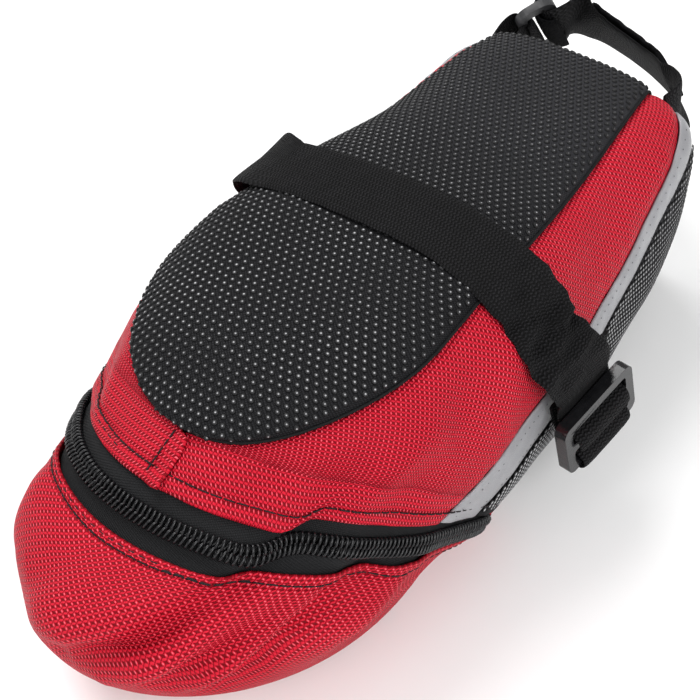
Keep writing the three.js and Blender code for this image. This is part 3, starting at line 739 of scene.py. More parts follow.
def lining():
    p = Paint("lining_nylon", LINING, 0.5, Sheen_Weight=0.2)
    wave = p.noise(60, 4)
    p.ramp(wave, (0.25, times(LINING, 0.6)), (0.8, times(LINING, 1.7)))
    p.bump(p.math("MULTIPLY_ADD", p.yarns(0.45, 0.45), 0.15, wave), 0.0006)
    return p.material


def loop_pile():
    """Fuzzy loop face of the post strap's free end."""
    p = Paint("loop_pile", PILE, 0.95, Specular_IOR_Level=0.08)
    tone = p.weigh((p.noise(1500, 4), 0.6), (p.noise(420, 3), 0.4))
    p.ramp(tone, (0.3, times(PILE, 0.3)), (0.7, times(PILE, 2.4)))
    p.bump(tone, 0.0012)
    return p.material


# ---- placing pieces
def put(piece, body, paint, *nodes, slot=None):
    """Gives a piece its material and body, and hides the CAD nodes it stands for."""
    if piece.type == "MESH" and not piece.data.materials:
        piece.data.materials.append(paint)
    if nodes:
        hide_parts(*nodes)
    if body:
        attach(piece, body)
    return piece


def grid_area(grid):
    """Area of a grid of points, in square metres."""
    a = np.cross(grid[1:, :-1] - grid[:-1, :-1], grid[:-1, 1:] - grid[:-1, :-1])
    return float(np.linalg.norm(a, axis=-1).sum()) * MM**2


LEAST_CUT = 0.0102


def declare_sheet(piece, grid, flat, *rests_on):
    """Works out the rectangle that a sewn sheet's flat pattern is cut from, and its area, and does not pass
    them on.
    """
    width, height = map(float, np.maximum(np.ptp(flat.reshape(-1, 2), axis=0) * MM, LEAST_CUT))
    area = min(grid_area(grid), 0.99 * width * height)


def put_sheet(name, body, paint, node, slot, grid, thickness, flat, *rests_on):
    """A sewn sheet of cloth, with its material and body; its flat size is worked out but not passed on."""
    piece = shell(name, grid, thickness, flat)
    put(piece, body, paint, node, slot=slot)
    declare_sheet(piece, grid, flat, *rests_on)
    return piece


def ripple(along, across, height=0.16):
    """Puckers that a seam draws in the cloth beside it."""
    return height * np.sin(along / 1.5 + 1.8 * np.sin(along / 5.3)) * bell(across, 3.0)


HEM_WIDE = 3.3
HEM_HIGH = 0.4


def across_rate(s, a):
    """Millimetres along the skin for each unit of s."""
    return np.linalg.norm(skin(s - 0.02, a) - skin(s + 0.02, a), axis=-1) / 0.04


def hem_relief(s, a, hem, side):
    """Depth beside a hem: the cloth is folded double, with a groove along its stitches."""
    inset = side * (hem - s) * across_rate(s, a)
    double = 1 / (1 + np.exp((inset - HEM_WIDE) / 0.35))
    return -HEM_HIGH * double + 0.45 * bell(inset - HEM_WIDE - 0.1, 0.8)


def panel(s, start, end, columns, top, tuck=0.9, lap=0.0):
    """A grid of cloth between two lines, drawn in and puckered at both. lap raises its first edge."""
    angles = even_angles(s, start, end, columns)
    rows = np.broadcast_to(s[:, None], angles.shape)
    plain = skin(rows, angles)
    across, along = lengths(plain, 1), lengths(plain, 0)
    back = across[:, -1:] - across
    raised = np.asarray(lap)[..., None] * bell(across, 2.4)
    depth = top + tuck * (bell(across, 1.7) + bell(back, 1.7)) - raised
    depth = depth + ripple(along, across - 4) + ripple(along + 2, back - 4)
    if top == 0.0:
        depth = depth + hem_relief(rows, angles, HEM, 1)
    return cloth(rows, angles, depth), flatten(plain)


def rows_between(start, end, step):
    """Sections from start to end behind the front face, about a step apart."""
    return station_at_top(-np.linspace(start, end, max(int((end - start) / step), 2) + 1))


def tongue_rows(step):
    turns = np.radians(np.linspace(0, 88, 34))
    curved = station_at_top(-(TONGUE_ROUND + (TONGUE_END - TONGUE_ROUND) * np.sin(turns)))
    return np.unique(np.r_[rows_between(TONGUE_FRONT, TONGUE_ROUND, step), curved])


SEAM = 0.25
# How thick each cloth is.
CLOTH = 0.95
TOP_CLOTH = 1.2
TAPE_CLOTH = 0.8
FRONT_CLOTH = 0.9
LINING_CLOTH = 0.7
ZIP_CLOTH = 0.5
ZIP_STOP = 1.6
PADDING = 1.6
# How deep each lies below the skin; a negative depth is above it.
TAPE_DEPTH = -0.35
HOLE_DEPTH = -0.33
PADDING_DEPTH = 2.0
BACK_SEAM_LAP = 1.3  # how far each side panel reaches over the other below the top panel
# How far the left panel's edge rises, which lies over the right panel's, and the right's under it.
BACK_SEAM_RISE = 2.1
BACK_SEAM_UNDER = 0.6
FRONT_ROW = 0.003
all_tongue_rows = tongue_rows(1.1)
side_rows = np.r_[
    np.linspace(FRONT_ROW, all_tongue_rows[0], 3)[:-1],
    all_tongue_rows,
    np.linspace(all_tongue_rows[-1], HEM, 12)[1:],
]

red = red_cloth()
coated_paint = coated_cloth()
top_dot_paint = coated_dot("top_dot", DOT_PAINTED_HIGHLIGHT, DOT)
base_dot_paint = coated_dot("base_dot", BASE_DOT_PAINTED_HIGHLIGHT, DOT_PAINTED_HIGHLIGHT)
strap_paint = webbing("saddle_webbing")
post_paint = webbing("post_webbing", times(WEBBING, 1.5), rib=0.8)
tape_paint = zip_tape_cloth()
coil_paint = moulded("coil_nylon", COIL, roughness=0.24)
plastic_paint = moulded("black_acetal", PLASTIC, roughness=0.16)
metal_paint = moulded("black_metal", METAL, roughness=0.3)
thread_paint = grainy(
    "thread", THREAD, roughness=0.6, scale=5200, detail=2, dark=(0.3, 0.5), light=(0.8, 2.2),
    bump=0.0001, Specular_IOR_Level=0.25,
)
reflective_paint = reflective()
hole_paint = moulded("needle_hole", HOLE, roughness=0.7)
lining_paint = lining()
pile_paint = loop_pile()


# ---- top panel with its dots
TOP_DEPTH = -1.25
DOT_PITCH = 2.05
DOT_MARGIN = 1.35
DOT_RADIUS = 0.8
DOT_HEIGHT = 0.4
TOP_COLUMNS = 61


def top_depth(s, x):
    """Depth of the padded top panel: it swells towards its middle and is sewn down at its edge."""
    half = np.where(x > 0, tongue_edge(s, 1), tongue_edge(s, -1))
    gap = half - np.abs(x)
    return TOP_DEPTH - 0.5 * np.clip(gap / 12, 0, 1) ** 0.7 + 1.3 * bell(gap, 1.5)


def make_top():
    """The padded top panel and the rolled edge along its seam. Gives the flat length at each row."""
    s = all_tongue_rows
    share = np.linspace(-1, 1, TOP_COLUMNS)
    left, right = (np.maximum(tongue_edge(s, side), 0.5)[:, None] for side in (-1, 1))
    x = np.where(share > 0, right, left) * share
    rows = np.broadcast_to(s[:, None], x.shape)
    grid = cloth(rows, angle_of_half(rows, x), top_depth(rows, x))
    v = lengths(grid[:, TOP_COLUMNS // 2])
    flat = np.stack([x, np.broadcast_to(v[:, None], x.shape)], axis=-1)
    piece = shell("top_cloth", grid, TOP_CLOTH, flat)
    put(piece, "bag", coated_paint, "top_panel", slot="coated_fabric")
    edge = np.vstack([grid[:, 0], grid[::-1, -1]])
    gone = lengths(edge)
    roll = tube(resample(edge, gone, np.arange(0, gone[-1], 1.0)), radius=0.45, sides=8)
    put(make_object("top_edge_roll", *roll), "bag", tape_paint, slot="coated_fabric")
    return v


DOME = ((1.0, -0.1), (0.8, 0.6), (0.45, 0.92))  # radius and height of its rings


def domes(name, places, radius, height, sides, paint):
    """Small round bumps in one mesh; u in their flat coordinates runs from 0 on top to 1 at the foot."""
    spots, normals, tangents = places
    turn = np.arange(sides) * 2 * math.pi / sides
    rings = [
        np.stack([np.cos(turn) * radius * r, np.sin(turn) * radius * r, np.full(sides, height * z)], axis=-1)
        for r, z in DOME
    ]
    shape = np.vstack([*rings, [[0, 0, height]]])
    side = unit(tangents - normals * (tangents * normals).sum(-1, keepdims=True))
    axes = (side, np.cross(normals, side), normals)
    points = spots[:, None] + sum(shape[None, :, k : k + 1] * axis[:, None] for k, axis in enumerate(axes))
    foot, rim = end_faces(len(DOME), sides)
    tip = [np.array([a, b, len(shape) - 1]) for a, b in zip(rim, np.roll(rim, -1))]
    one = [*ring_faces(len(DOME), sides), *tip, foot]
    faces = [face + i * len(shape) for i in range(len(spots)) for face in one]
    out = np.r_[np.repeat([r for r, z in DOME], sides), 0.0]
    flat = np.tile(np.stack([out, out * 0], axis=-1), (len(spots), 1))
    piece = make_object(name, points.reshape(-1, 3), faces, flat)
    put(piece, "bag", paint, slot="coated_fabric")


def make_top_dots(v_row):
    """Raised dots in staggered rows over the top panel, where v_row is the flat length at its rows."""
    spots = []
    for row, v in enumerate(np.arange(0.9, v_row[-1] - 0.6, DOT_PITCH * 0.98)):
        s = float(np.interp(v, v_row, all_tongue_rows))
        left, right = (float(tongue_edge(s, side)) - DOT_MARGIN for side in (-1, 1))
        shift = DOT_PITCH / 2 if row % 2 else 0
        start = -math.ceil(max(left, 0) / DOT_PITCH) * DOT_PITCH + shift
        spots += [(s, x) for x in np.arange(start, right, DOT_PITCH) if -left < x < right]
    rng = np.random.default_rng(5)
    spots = np.array(spots) + rng.normal(0, 1, (len(spots), 2)) * np.array([0.0002, 0.04])
    s, x = spots.T
    places = surface_at(s, angle_of_half(s, x), lambda s, a: top_depth(s, skin(s, a)[..., 0]))
    domes("top_dots", places, DOT_RADIUS, DOT_HEIGHT, sides=8, paint=top_dot_paint)


def make_base_dots():
    """Slightly lower dots down both flanks of the base panel, as far as its underside."""
    for side, sign in SIDES:
        found = []
        for row, s in enumerate(station_at_top(-np.arange(3, 186, DOT_PITCH * 1.02))):
            if s > HEM - 0.015:
                break
            fine = np.linspace(float(tape_angle(s, -1)), math.radians(170), 160)
            p = skin(np.full(len(fine), s), fine)
            gone = lengths(p)
            at = np.arange(DOT_MARGIN + (DOT_PITCH / 2 if row % 2 else 0), gone[-1], DOT_PITCH)
            low = np.interp(at, gone, p[:, 2])
            found += [(s, sign * a) for a, z in zip(np.interp(at, gone, fine), low) if z > 3]
        places = surface_at(*np.array(found).T)
        domes(f"base_dots_{side}", places, DOT_RADIUS, DOT_HEIGHT * 0.9, sides=6, paint=base_dot_paint)


def surface_at(s, a, depth=0.0):
    """Points of the cloth, their normals and their directions across the bag.

    depth is a number, or a function of s and a.
    """
    def at(s, a):
        return cloth(s, a, depth(s, a) if callable(depth) else depth)

    here = at(s, a)
    back = at(s + 0.004, a) - here
    side = at(s, a + 0.012) - here
    return here, unit(np.cross(back, side)), unit(side)


# ---- side panels, tape and base
def make_sides():
    """Both side panels and their reflective tapes. Behind the top panel the side panels overlap."""
    s = side_rows
    for side, sign in SIDES:
        edge = tongue_edge(s, sign)
        past = np.clip(1 - edge / 9, 0, 1)
        inner = angle_of_half(s, edge + SEAM - past * BACK_SEAM_LAP)
        raised = BACK_SEAM_RISE if sign < 0 else BACK_SEAM_UNDER
        outer = tape_angle(s, 1, SEAM)
        lap = raised * past
        grid, flat = panel(s, sign * inner, sign * outer, columns=46, top=0.0, lap=lap)
        piece = shell(f"side_cloth_{side}", grid, CLOTH, flat)
        put(piece, "bag", red, f"side_panel_{side}", slot="red_fabric")
        upper, lower = (sign * tape_angle(s, end) for end in (1, -1))
        grid, flat = panel(s, upper, lower, columns=15, top=TAPE_DEPTH, tuck=0.5)
        put_sheet(
            f"tape_{side}", "bag", reflective_paint, f"reflective_tape_{side}", "reflective_tape",
            grid, TAPE_CLOTH, flat, f"side_cloth_{side}",
        )
        make_tape_holes(side, sign)


def make_tape_holes(side, sign):
    """Two rows of small dark needle marks along the tape."""
    rows = rows_between(3, 184, 3.1)
    for edge, name in ((0.62, "upper"), (-0.62, "lower")):
        places = surface_at(rows, sign * tape_angle(rows, edge), HOLE_DEPTH)
        domes(f"tape_holes_{name}_{side}", places, radius=0.24, height=0.05, sides=6, paint=hole_paint)


def make_base():
    edge = tape_angle(side_rows, -1, -SEAM)
    grid, flat = panel(side_rows, edge, 2 * math.pi - edge, columns=110, top=0.0)
    put_sheet(
        "base_cloth", "bag", coated_paint, "base_panel", "coated_fabric",
        grid, CLOTH, flat, "body_lining_cloth",
    )


FRONT_DOME = 0.8


def make_front():
    """The flat front end, a little domed, and the binding around it."""
    turn = np.linspace(0, 2 * math.pi, 97)
    outline = skin(np.zeros_like(turn), turn, 0.3)
    middle = outline[:-1].mean(axis=0)
    share = np.linspace(1, 0.02, 18)[:, None, None]
    grid = middle + (outline - middle) * share
    grid[..., 1] = FRONT_Y - FRONT_CLOTH + FRONT_DOME * (1 - share[..., 0] ** 3)
    flat = grid[..., [0, 2]]
    back = grid - np.array([0, FRONT_CLOTH, 0])
    piece = shell_cup("front_cloth", grid[:, :-1], back[:, :-1], flat[:, :-1])
    put(piece, "bag", coated_paint, "front_panel", slot="coated_fabric")
    declare_sheet(piece, grid, flat, "base_cloth")
    ring = skin(np.full_like(turn, 0.004), turn, -0.1)
    ring[-1] = ring[0]
    binding = make_object("front_binding", *tube(ring, radius=0.95, sides=8, closed_ends=False))
    put(binding, "bag", tape_paint, slot="webbing")


# ---- tail flap and linings
def cup_grid(s_wall, columns, end_rows, wall_at):
    """A cup of cloth: its wall along the sections s_wall, closed at its last section."""
    whole = np.full(len(s_wall), math.pi)
    turn = even_angles(s_wall, -whole, whole, columns + 1)
    wall = wall_at(np.broadcast_to(s_wall[:, None], turn.shape), turn)
    last = wall[-1]
    middle = last[:-1].mean(axis=0)
    share = np.linspace(1, 0.03, end_rows)[1:, None, None]
    end = middle + (last - middle) * share
    return np.concatenate([wall, end])[:, :-1]


def make_cup(name, body, node, paint, slot, rests_on, grid, offset, flat):
    """A cup of cloth between a grid and the same grid moved along its normals by an offset."""
    other = grid + cup_normals(grid) * offset
    other[..., 2] = np.maximum(other[..., 2], 0.25)
    piece = shell_cup(name, grid, other, flat)
    put(piece, body, paint, node, slot=slot)
    declare_sheet(piece, np.concatenate([grid, grid[:, :1]], axis=1), flat, rests_on)


def make_flap():
    s = np.r_[np.linspace(FLAP_HEM + 0.004, 1.20, 26), np.linspace(1.20, TAIL_END, 76)[1:]]
    size = (230, 16)  # its columns, and the rows of its closed end
    grid = cup_grid(s, *size, lambda s, a: cloth(s, a, hem_relief(s, a, FLAP_HEM, -1)))
    flat = flatten(cup_grid(s, *size, skin))
    make_cup("flap_cloth", "tail", "tail_flap", red, "red_fabric", "flap_lining_cloth", grid, -CLOTH, flat)


def cup_normals(grid):
    along = np.gradient(grid, axis=0)
    across = (np.roll(grid, -1, axis=1) - np.roll(grid, 1, axis=1)) / 2
    return unit(np.cross(along, across))


def make_linings():
    """The flap's lining and the body's, both open at the zip."""
    for name, body, s, size, depth, offset, rests_on in (
        ("flap", "tail", np.linspace(FLAP_HEM + 0.03, 1.96, 60), (120, 8), 3.4, -LINING_CLOTH, "flap_cloth"),
        ("body", "bag", np.linspace(0.985, 0.07, 50), (96, 10), 4.8, LINING_CLOTH, "base_cloth"),
    ):
        grid = cup_grid(s, *size, lambda s, a: cloth(s, a, depth))
        make_cup(
            f"{name}_lining_cloth", body, f"{name}_lining", lining_paint, "lining", rests_on,
            grid, offset, flatten(grid),
        )


def make_hinge_panel():
    """The cloth under the zip, which on the real bag folds as the flap opens; here it is one fixed sheet on
    no body.
    """
    s = np.linspace(HEM + 0.004, FLAP_HEM, 12)
    start = np.full(len(s), ZIP_SPAN + 0.03)
    grid, flat = panel(s, start, 2 * math.pi - start, columns=60, top=0.0, tuck=0.0)
    piece = put_sheet(
        "flap_hinge_cloth", None, red, "flap_hinge_panel", "red_fabric",
        grid, CLOTH, flat, "base_cloth", "flap_cloth",
    )
    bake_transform(piece)


# ---- zip
COIL_PITCH = 1.3
COIL_STEPS = 12  # for each turn
ZIP_TAPE_OUT = 0.083  # width of each tape, in sections


def zip_angles(count, samples):
    """Angles at equal steps along the zip's middle line, from left to right, and its length."""
    a = np.linspace(-ZIP_SPAN, ZIP_SPAN, samples)
    gone = lengths(cloth(np.full_like(a, ZIP_MIDDLE), a))
    return np.interp(np.linspace(0, gone[-1], count), gone, a), gone[-1]


def make_coil(name, sign, body, node):
    """One side of the coil: a flattened helix whose turns reach over the middle."""
    turns = int(zip_angles(2, 2000)[1] / COIL_PITCH) - 1
    a = zip_angles(turns * COIL_STEPS + 1, 2000)[0]
    s = np.full_like(a, ZIP_MIDDLE)
    line = cloth(s, a)
    along = unit(np.gradient(line, axis=0))
    up = cloth(s - 0.02, a) - cloth(s + 0.02, a)
    up = unit(up - along * (up * along).sum(-1, keepdims=True))
    turn = np.arange(len(line)) / COIL_STEPS * 2 * math.pi + (math.pi if sign > 0 else 0)
    across = sign * (1.1 + 1.3 * signed_power(np.cos(turn), 0.7))
    height = 0.35 + 0.85 * np.sin(turn)
    lean = 0.28 * np.cos(turn) * sign
    path = line + up * across[:, None] + np.cross(along, up) * height[:, None] + along * lean[:, None]
    put(make_object(name, *tube(path, radius=0.31)), body, coil_paint, node, slot="coil")


def make_zip_tape(name, sign, body, node, neighbour):
    """Woven tape from the coil's middle to under the hem."""
    a, length = zip_angles(300, 1200)
    share = np.linspace(0, 1, 14)
    sections = ZIP_MIDDLE - sign * (0.002 + share * ZIP_TAPE_OUT) + 0 * a[:, None]
    grid = cloth(sections, a[:, None], 0.75 + 0.9 * share**2)
    flat = np.stack(np.broadcast_arrays(share * 8, np.linspace(0, length, len(a))[:, None]), axis=-1)
    piece = shell(name, grid, ZIP_CLOTH, flat)
    put(piece, body, tape_paint, node, slot="webbing")
    declare_sheet(piece, grid, flatten(grid), neighbour)


def make_zip():
    make_coil("coil_upper", 1, "bag", "zip_coil_upper")
    make_coil("coil_lower", -1, "tail", "zip_coil_lower")
    make_zip_tape("zip_cloth_upper", 1, "bag", "zip_tape_upper", "side_cloth_right")
    make_zip_tape("zip_cloth_lower", -1, "tail", "zip_tape_lower", "flap_cloth")
    for side, sign in SIDES:
        s = np.linspace(ZIP_MIDDLE - 0.034, ZIP_MIDDLE + 0.034, 12)
        start = np.full_like(s, ZIP_SPAN + 0.008)
        grid, flat = panel(s, sign * start, sign * (start + 0.05), columns=8, top=-1.3, tuck=0.5)
        piece = shell(f"zip_stop_{side}", grid, ZIP_STOP, flat)
        put(piece, "bag", tape_paint, f"zip_end_{side}", slot="webbing")


# ---- sewing
STITCH_RADIUS = 0.2
STITCH_LIFT = 0.22
STITCH_SINK = 0.35


def stitch_run(name, line, normals, body, length=2.6, gap=0.45):
    """Top stitching: short threads that dip into the cloth at both ends."""
    gone = lengths(line)
    share = np.linspace(0, 1, 7)
    lift = STITCH_LIFT - STITCH_SINK * np.abs(2 * share - 1) ** 4
    parts = []
    for start in np.arange(0.3, gone[-1] - length, length + gap):
        at = start + share * length
        n = unit(resample(normals, gone, at))
        parts.append(tube(resample(line, gone, at) + n * lift[:, None], STITCH_RADIUS))
    put(make_object(name, *joined(parts)), body, thread_paint, slot="webbing")


def hem_stitch(name, body, hem, sign, inset, start, end):
    """Stitches beside a hem, inset by millimetres; sign is 1 up the bag and -1 down the flap."""
    a = np.radians(np.linspace(start, end, 400))
    s = hem - sign * inset / across_rate(hem, a)
    stitch_run(name, *surface_at(s, a)[:2], body)


def make_stitches():
    hem_stitch("hem_stitch_body", "bag", HEM, 1, HEM_WIDE, -98, 98)
    hem_stitch("hem_stitch_body_second", "bag", HEM, 1, 1.9, -96, -8)
    hem_stitch("hem_stitch_flap", "tail", FLAP_HEM, -1, 3.0, -100, 100)
    hem_stitch("hem_stitch_flap_second", "tail", FLAP_HEM, -1, 1.8, -70, 8)
    s = np.linspace(station_at_top(-TONGUE_END - 1), HEM - 0.01, 60)
    line, normals = surface_at(s, angle_of_half(s, -3.1 - 14 * (s - 0.93)), -0.15)[:2]
    stitch_run("back_seam_stitch", line, normals, "bag", length=1.9, gap=0.35)
    hem_stitch("kink_stitch_flap", "tail", FLAP_HEM, -1, HEM_WIDE - 0.6, 8, 30)


LOOSE_THREADS = [  # name, body, s and degrees of its root, and its bends from there
    ("flap", "tail", 1.17, -66, [(0, 0, 0), (-1.6, -0.4, 0.8), (-3.6, -1.6, 0.6), (-5.4, -2.0, -0.8)]),
    ("side", "bag", 0.72, -79, [(0, 0, 0), (-0.8, 0.3, 0.9), (-2.2, 1.4, 1.3), (-3.0, 3.2, 1.0)]),
]


def make_loose_threads():
    """Ends of sewing thread that stick out of the seams."""
    for name, body, s, degrees, bends in LOOSE_THREADS:
        root = cloth(np.array(s), math.radians(degrees), 0.2)
        line = smooth_line(root + np.array(bends), 14)[0]
        piece = make_object(f"loose_thread_{name}", *tube(line, radius=0.11))
        put(piece, body, thread_paint, slot="webbing")


# ---- webbing
BAND_STEP = 0.9
BAND_SIDES = 28


def smooth_line(points, count=None):
    """Points at equal steps along a smooth line through the given points, and its length."""
    points = np.asarray(points, float)
    gap = np.linalg.norm(np.diff(points, axis=0), axis=-1)
    slope = np.diff(points, axis=0) / gap[:, None]
    tangent = np.empty_like(points)
    tangent[0], tangent[-1] = slope[0], slope[-1]
    w = (gap[1:] / (gap[1:] + gap[:-1]))[:, None]
    tangent[1:-1] = slope[:-1] * w + slope[1:] * (1 - w)
    t = np.linspace(0, 1, 24, endpoint=False)[:, None]
    fine = []
    for i, g in enumerate(gap):
        fine.append(
            (2 * t**3 - 3 * t**2 + 1) * points[i]
            + (t**3 - 2 * t**2 + t) * (tangent[i] * g)
            + (3 * t**2 - 2 * t**3) * points[i + 1]
            + (t**3 - t**2) * (tangent[i + 1] * g)
        )
    fine = np.vstack([*fine, points[-1:]])
    gone = lengths(fine)
    count = count or max(int(gone[-1] / BAND_STEP), 8)
    return resample(fine, gone, np.linspace(0, gone[-1], count)), gone[-1]


def creases(x, gone):
    """Heights of crossing creases, x across a strap and gone along it."""
    wide = np.sin(gone / 1.7 + x / 2.6 + 0.9)
    fine = 0.8 * np.sin(gone / 0.95 - x / 4.1)
    return wide + fine + 0.6 * np.sin(x / 1.9 + gone / 6)


def band(name, points, across, width, thickness, body, paint, *nodes, crumple=None):
    """A strap along a smooth line.

    across gives the direction of its width at each share 0 to 1, and crumple its creases' height there.
    """
    line, length = smooth_line(points)
    share = np.linspace(0, 1, len(line))
    gone = share[:, None] * length
    wide = np.array([across(u) for u in share], float)
    along = unit(np.gradient(line, axis=0))
    wide = unit(wide - along * (wide * along).sum(-1, keepdims=True))
    turn = np.arange(BAND_SIDES) * 2 * math.pi / BAND_SIDES
    x = signed_power(np.cos(turn), 0.45) * width / 2
    z = signed_power(np.sin(turn), 0.8) * thickness / 2 + 0 * gone
    if crumple:
        z = z + np.array([crumple(u) for u in share])[:, None] * creases(x, gone)
    out = x * (1 + 0.006 * np.sin(gone / 1.1))
    normal = np.cross(along, wide)
    grid = line[:, None] + wide[:, None] * out[..., None] + normal[:, None] * z[..., None]
    quads = ring_faces(len(line), BAND_SIDES)
    faces = [*quads, *end_faces(len(line), BAND_SIDES)]
    points = grid.reshape(-1, 3)
    if signed_volume(points, quads) < 0:
        faces = [face[::-1] for face in faces]
    flat = np.stack(np.broadcast_arrays(x, gone), axis=-1).reshape(-1, 2)
    return put(make_object(name, points, faces, flat), body, paint, *nodes, slot="webbing")


class Place:
    """A local frame: x along, y towards, and z off both."""

    def __init__(self, origin, x_axis, y_axis):
        self.origin = np.array(origin, float)
        self.x = unit(np.array(x_axis, float))
        self.z = unit(np.cross(self.x, np.array(y_axis, float)))
        self.y = np.cross(self.z, self.x)

    def at(self, x, y, z):
        return self.origin + x * self.x + y * self.y + z * self.z

    def line(self, *points):
        return [self.at(*point) for point in points]


STRAP_WIDTH = 20.0
WEB = 1.5  # thickness of the webbing
THIN_WEB = 1.2
buckle = Place((58.2, -89.9 + FRONT_Y, 32.5), (0.12, 1, 0.2), (-0.1, -0.2, 1))
BUCKLE_TALL, BUCKLE_THICK, BUCKLE_BAR = 17.5, 3.4, 2.8
TOP_BAR = (BUCKLE_TALL - BUCKLE_BAR) / 2
STRAP_DEPTH = -2.9
STRAP_Y = -100 + FRONT_Y  # where the strap crosses the top
STRAP_SLANT = 22  # how much nearer the front its left end is


def make_saddle_strap():
    over = []
    # It stands off the left shoulder and is drawn in below it.
    for degrees in np.linspace(-94, 60, 29):
        down = min(max(-degrees - 30, 0), 64) / 64
        proud = 3.0 * float(bell(degrees + 40, 14)) - 1.6 * float(bell(degrees + 66, 12))
        a = math.radians(degrees)
        depth = STRAP_DEPTH - proud
        y = STRAP_Y + STRAP_SLANT * down
        s = solve(np.array(0.0), np.array(HEM), lambda s: skin(s, a, depth)[..., 1] - y)
        over.append(cloth(s, a, depth))
    through_lock = buckle.line(
        (-0.4, 15, -1.6), (0, 8.6, -3), (0, 6.2, -2.8), (0, 4.5, -1.5), (0, 3.5, 0.4), (0, 2.4, 2.4),
        (0, 0.8, 3), (0, -1, 3),
    )
    line = [*over, np.array([52.9, -98 + FRONT_Y, 56.5]), *through_lock]

    def across(u):
        turned = min(max((u - 0.6) / 0.2, 0), 1)
        return (0.12 * turned, 1, 0.2 * turned)

    piece = band(
        "saddle_webbing", line, across, STRAP_WIDTH, WEB, None, strap_paint, "saddle_strap",
        crumple=lambda u: 0.05 + 0.7 * math.exp(-(((u - 0.79) / 0.075) ** 2)),
    )
    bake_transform(piece)


def make_buckle_webbing():
    """The webbing around the lock's lower bar, which is sewn to the bag, and the strap's free end."""
    reach_z, reach_y = BUCKLE_THICK / 2 + 1.4, BUCKLE_BAR / 2 + 1.4
    turn = [
        buckle.at(0, -TOP_BAR + reach_y * math.sin(t), reach_z * math.cos(t))
        for t in np.radians(np.linspace(180, 360, 9))
    ]
    end = buckle.line((0, -TOP_BAR + 2.9, 1.7), (0, -TOP_BAR + 3.6, -0.4))
    loop = [*buckle.line((0, 9.5, -5.9), (0, 4, -5.5), (0, -1, -4.5)), *turn, *end]
    free = buckle.line(
        (0.5, 0.6, -3), (0.8, 4, -3.9), (1.2, 8, -4.6), (1.8, 12, -4.6), (2.6, 16, -4.2), (3.4, 20.5, -3.6)
    )
    for name, line, node in (("buckle_loop", loop, "buckle_anchor"), ("strap_free_end", free, "strap_tail")):
        band(name, line, lambda u: buckle.x, STRAP_WIDTH - 1, THIN_WEB, "buckle", strap_paint, node)


def leaning(lean):
    return np.array([0, -math.sin(lean), math.cos(lean)])


POST_LEAN = math.radians(35)
POST_Z = 49.8
POST_WIDTH = 20.0
LOOP_WIDTH = 23.0
LOOP_DROP = (-2.0, -0.6, 1.8, 3.6, 4.4, 3.8, 2.4, 1.0, 0)  # sag of the worn loop at each of its points
ring = Place((-26, 22.5 + FRONT_Y, 50), (0.573, 0.67, 0.47), leaning(POST_LEAN))
RING_BAR = 4.75
FOLD = 1.5 + 0.65 + WEB / 2
LOOP = np.array([
    (25.8, 2.8, 48), (26.6, 7, 50.4), (24.2, 12.8, 52), (18.2, 20.6, 51.8), (11, 27, 50.9),
    (3, 31, 50.2), (-5, 32.8, POST_Z), (-13, 32.2, 50.6), (-18.4, 29.4, 51.4),
]) + np.array([0, FRONT_Y, 0]) - np.outer(LOOP_DROP, (0, 0, 1))


def around_bar(side, reach, start, end, count):
    """Points around one long bar of the ring, from a start to an end angle."""
    return [
        ring.at(side * (RING_BAR + reach * math.cos(t)), 0, reach * math.sin(t))
        for t in np.radians(np.linspace(start, end, count))
    ]


def make_post_strap():
    face = [(x, 1.1 + FRONT_Y, 45.8 + x * 0.07) for x in (-26, -10, 10, 26)]
    band(
        "post_face_webbing", face, lambda u: (-0.07, 0, 1), POST_WIDTH, WEB, "bag", post_paint,
        "post_strap_base",
    )
    piece = band(
        "post_loop_webbing", [*LOOP, *around_bar(1, FOLD, 90, 270, 9)],
        lambda u: leaning(POST_LEAN * min(u / 0.2, 1)), LOOP_WIDTH, WEB, None, post_paint, "post_strap_loop",
    )
    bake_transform(piece)
    make_post_end()


def make_post_end():
    """The hook-and-loop end of the strap: its fold around the ring, and its length along the loop."""
    inner = smooth_line(LOOP, 60)[0]
    width = leaning(POST_LEAN)
    out = unit(np.cross(width, unit(np.gradient(inner, axis=0))))
    at = [round(share * (len(inner) - 1)) for share in np.linspace(0.96, 0.43, 22)]
    back = [inner[k] - out[k] * 1.95 + width * 1.6 for k in at]
    band(
        "post_end_pile", back, lambda u: width, POST_WIDTH - 0.5, WEB + 0.4, "strap_end", pile_paint,
        "post_strap_end", crumple=lambda u: 0.1,
    )
    turn = around_bar(1, FOLD + WEB / 2 + 1.1, 94, 262, 14)
    band(
        "post_fold_pile", turn, lambda u: ring.y, POST_WIDTH - 1.5, WEB + 0.2, "ring", pile_paint,
        crumple=lambda u: 0.08,
    )


def make_ring_tab():
    """The short loop of webbing that holds the ring to the front."""
    shift = np.array([0, FRONT_Y, 0])
    inner = np.array([(-25.4, 2.6, 44.5), (-26.2, 9, 45.8)]) + shift
    outer = np.array([(-32.4, 9, 45.8), (-30.6, 2.6, 44.5)]) + shift
    piece = band(
        "ring_tab_webbing", [*inner, *around_bar(-1, FOLD, 90, 270, 9), *outer],
        lambda u: leaning(POST_LEAN * min(2.4 * math.sin(math.pi * u), 1)),
        POST_WIDTH - 1, THIN_WEB, None, post_paint, "post_ring_tab",
    )
    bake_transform(piece)


# ---- hard pieces and what is hidden
def soften(node, paint, width):
    """Keeps a CAD piece, with its edges rounded."""
    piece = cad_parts[node]
    piece.data.materials.clear()
    piece.data.materials.append(paint)
    weld = piece.modifiers.new("weld", "WELD")
    weld.merge_threshold = 0.00001
    bevel = piece.modifiers.new("round", "BEVEL")
    bevel.width = width * MM
    bevel.segments = 3
    bevel.limit_method = "ANGLE"
    bevel.angle_limit = math.radians(35)
    bevel.harden_normals = False


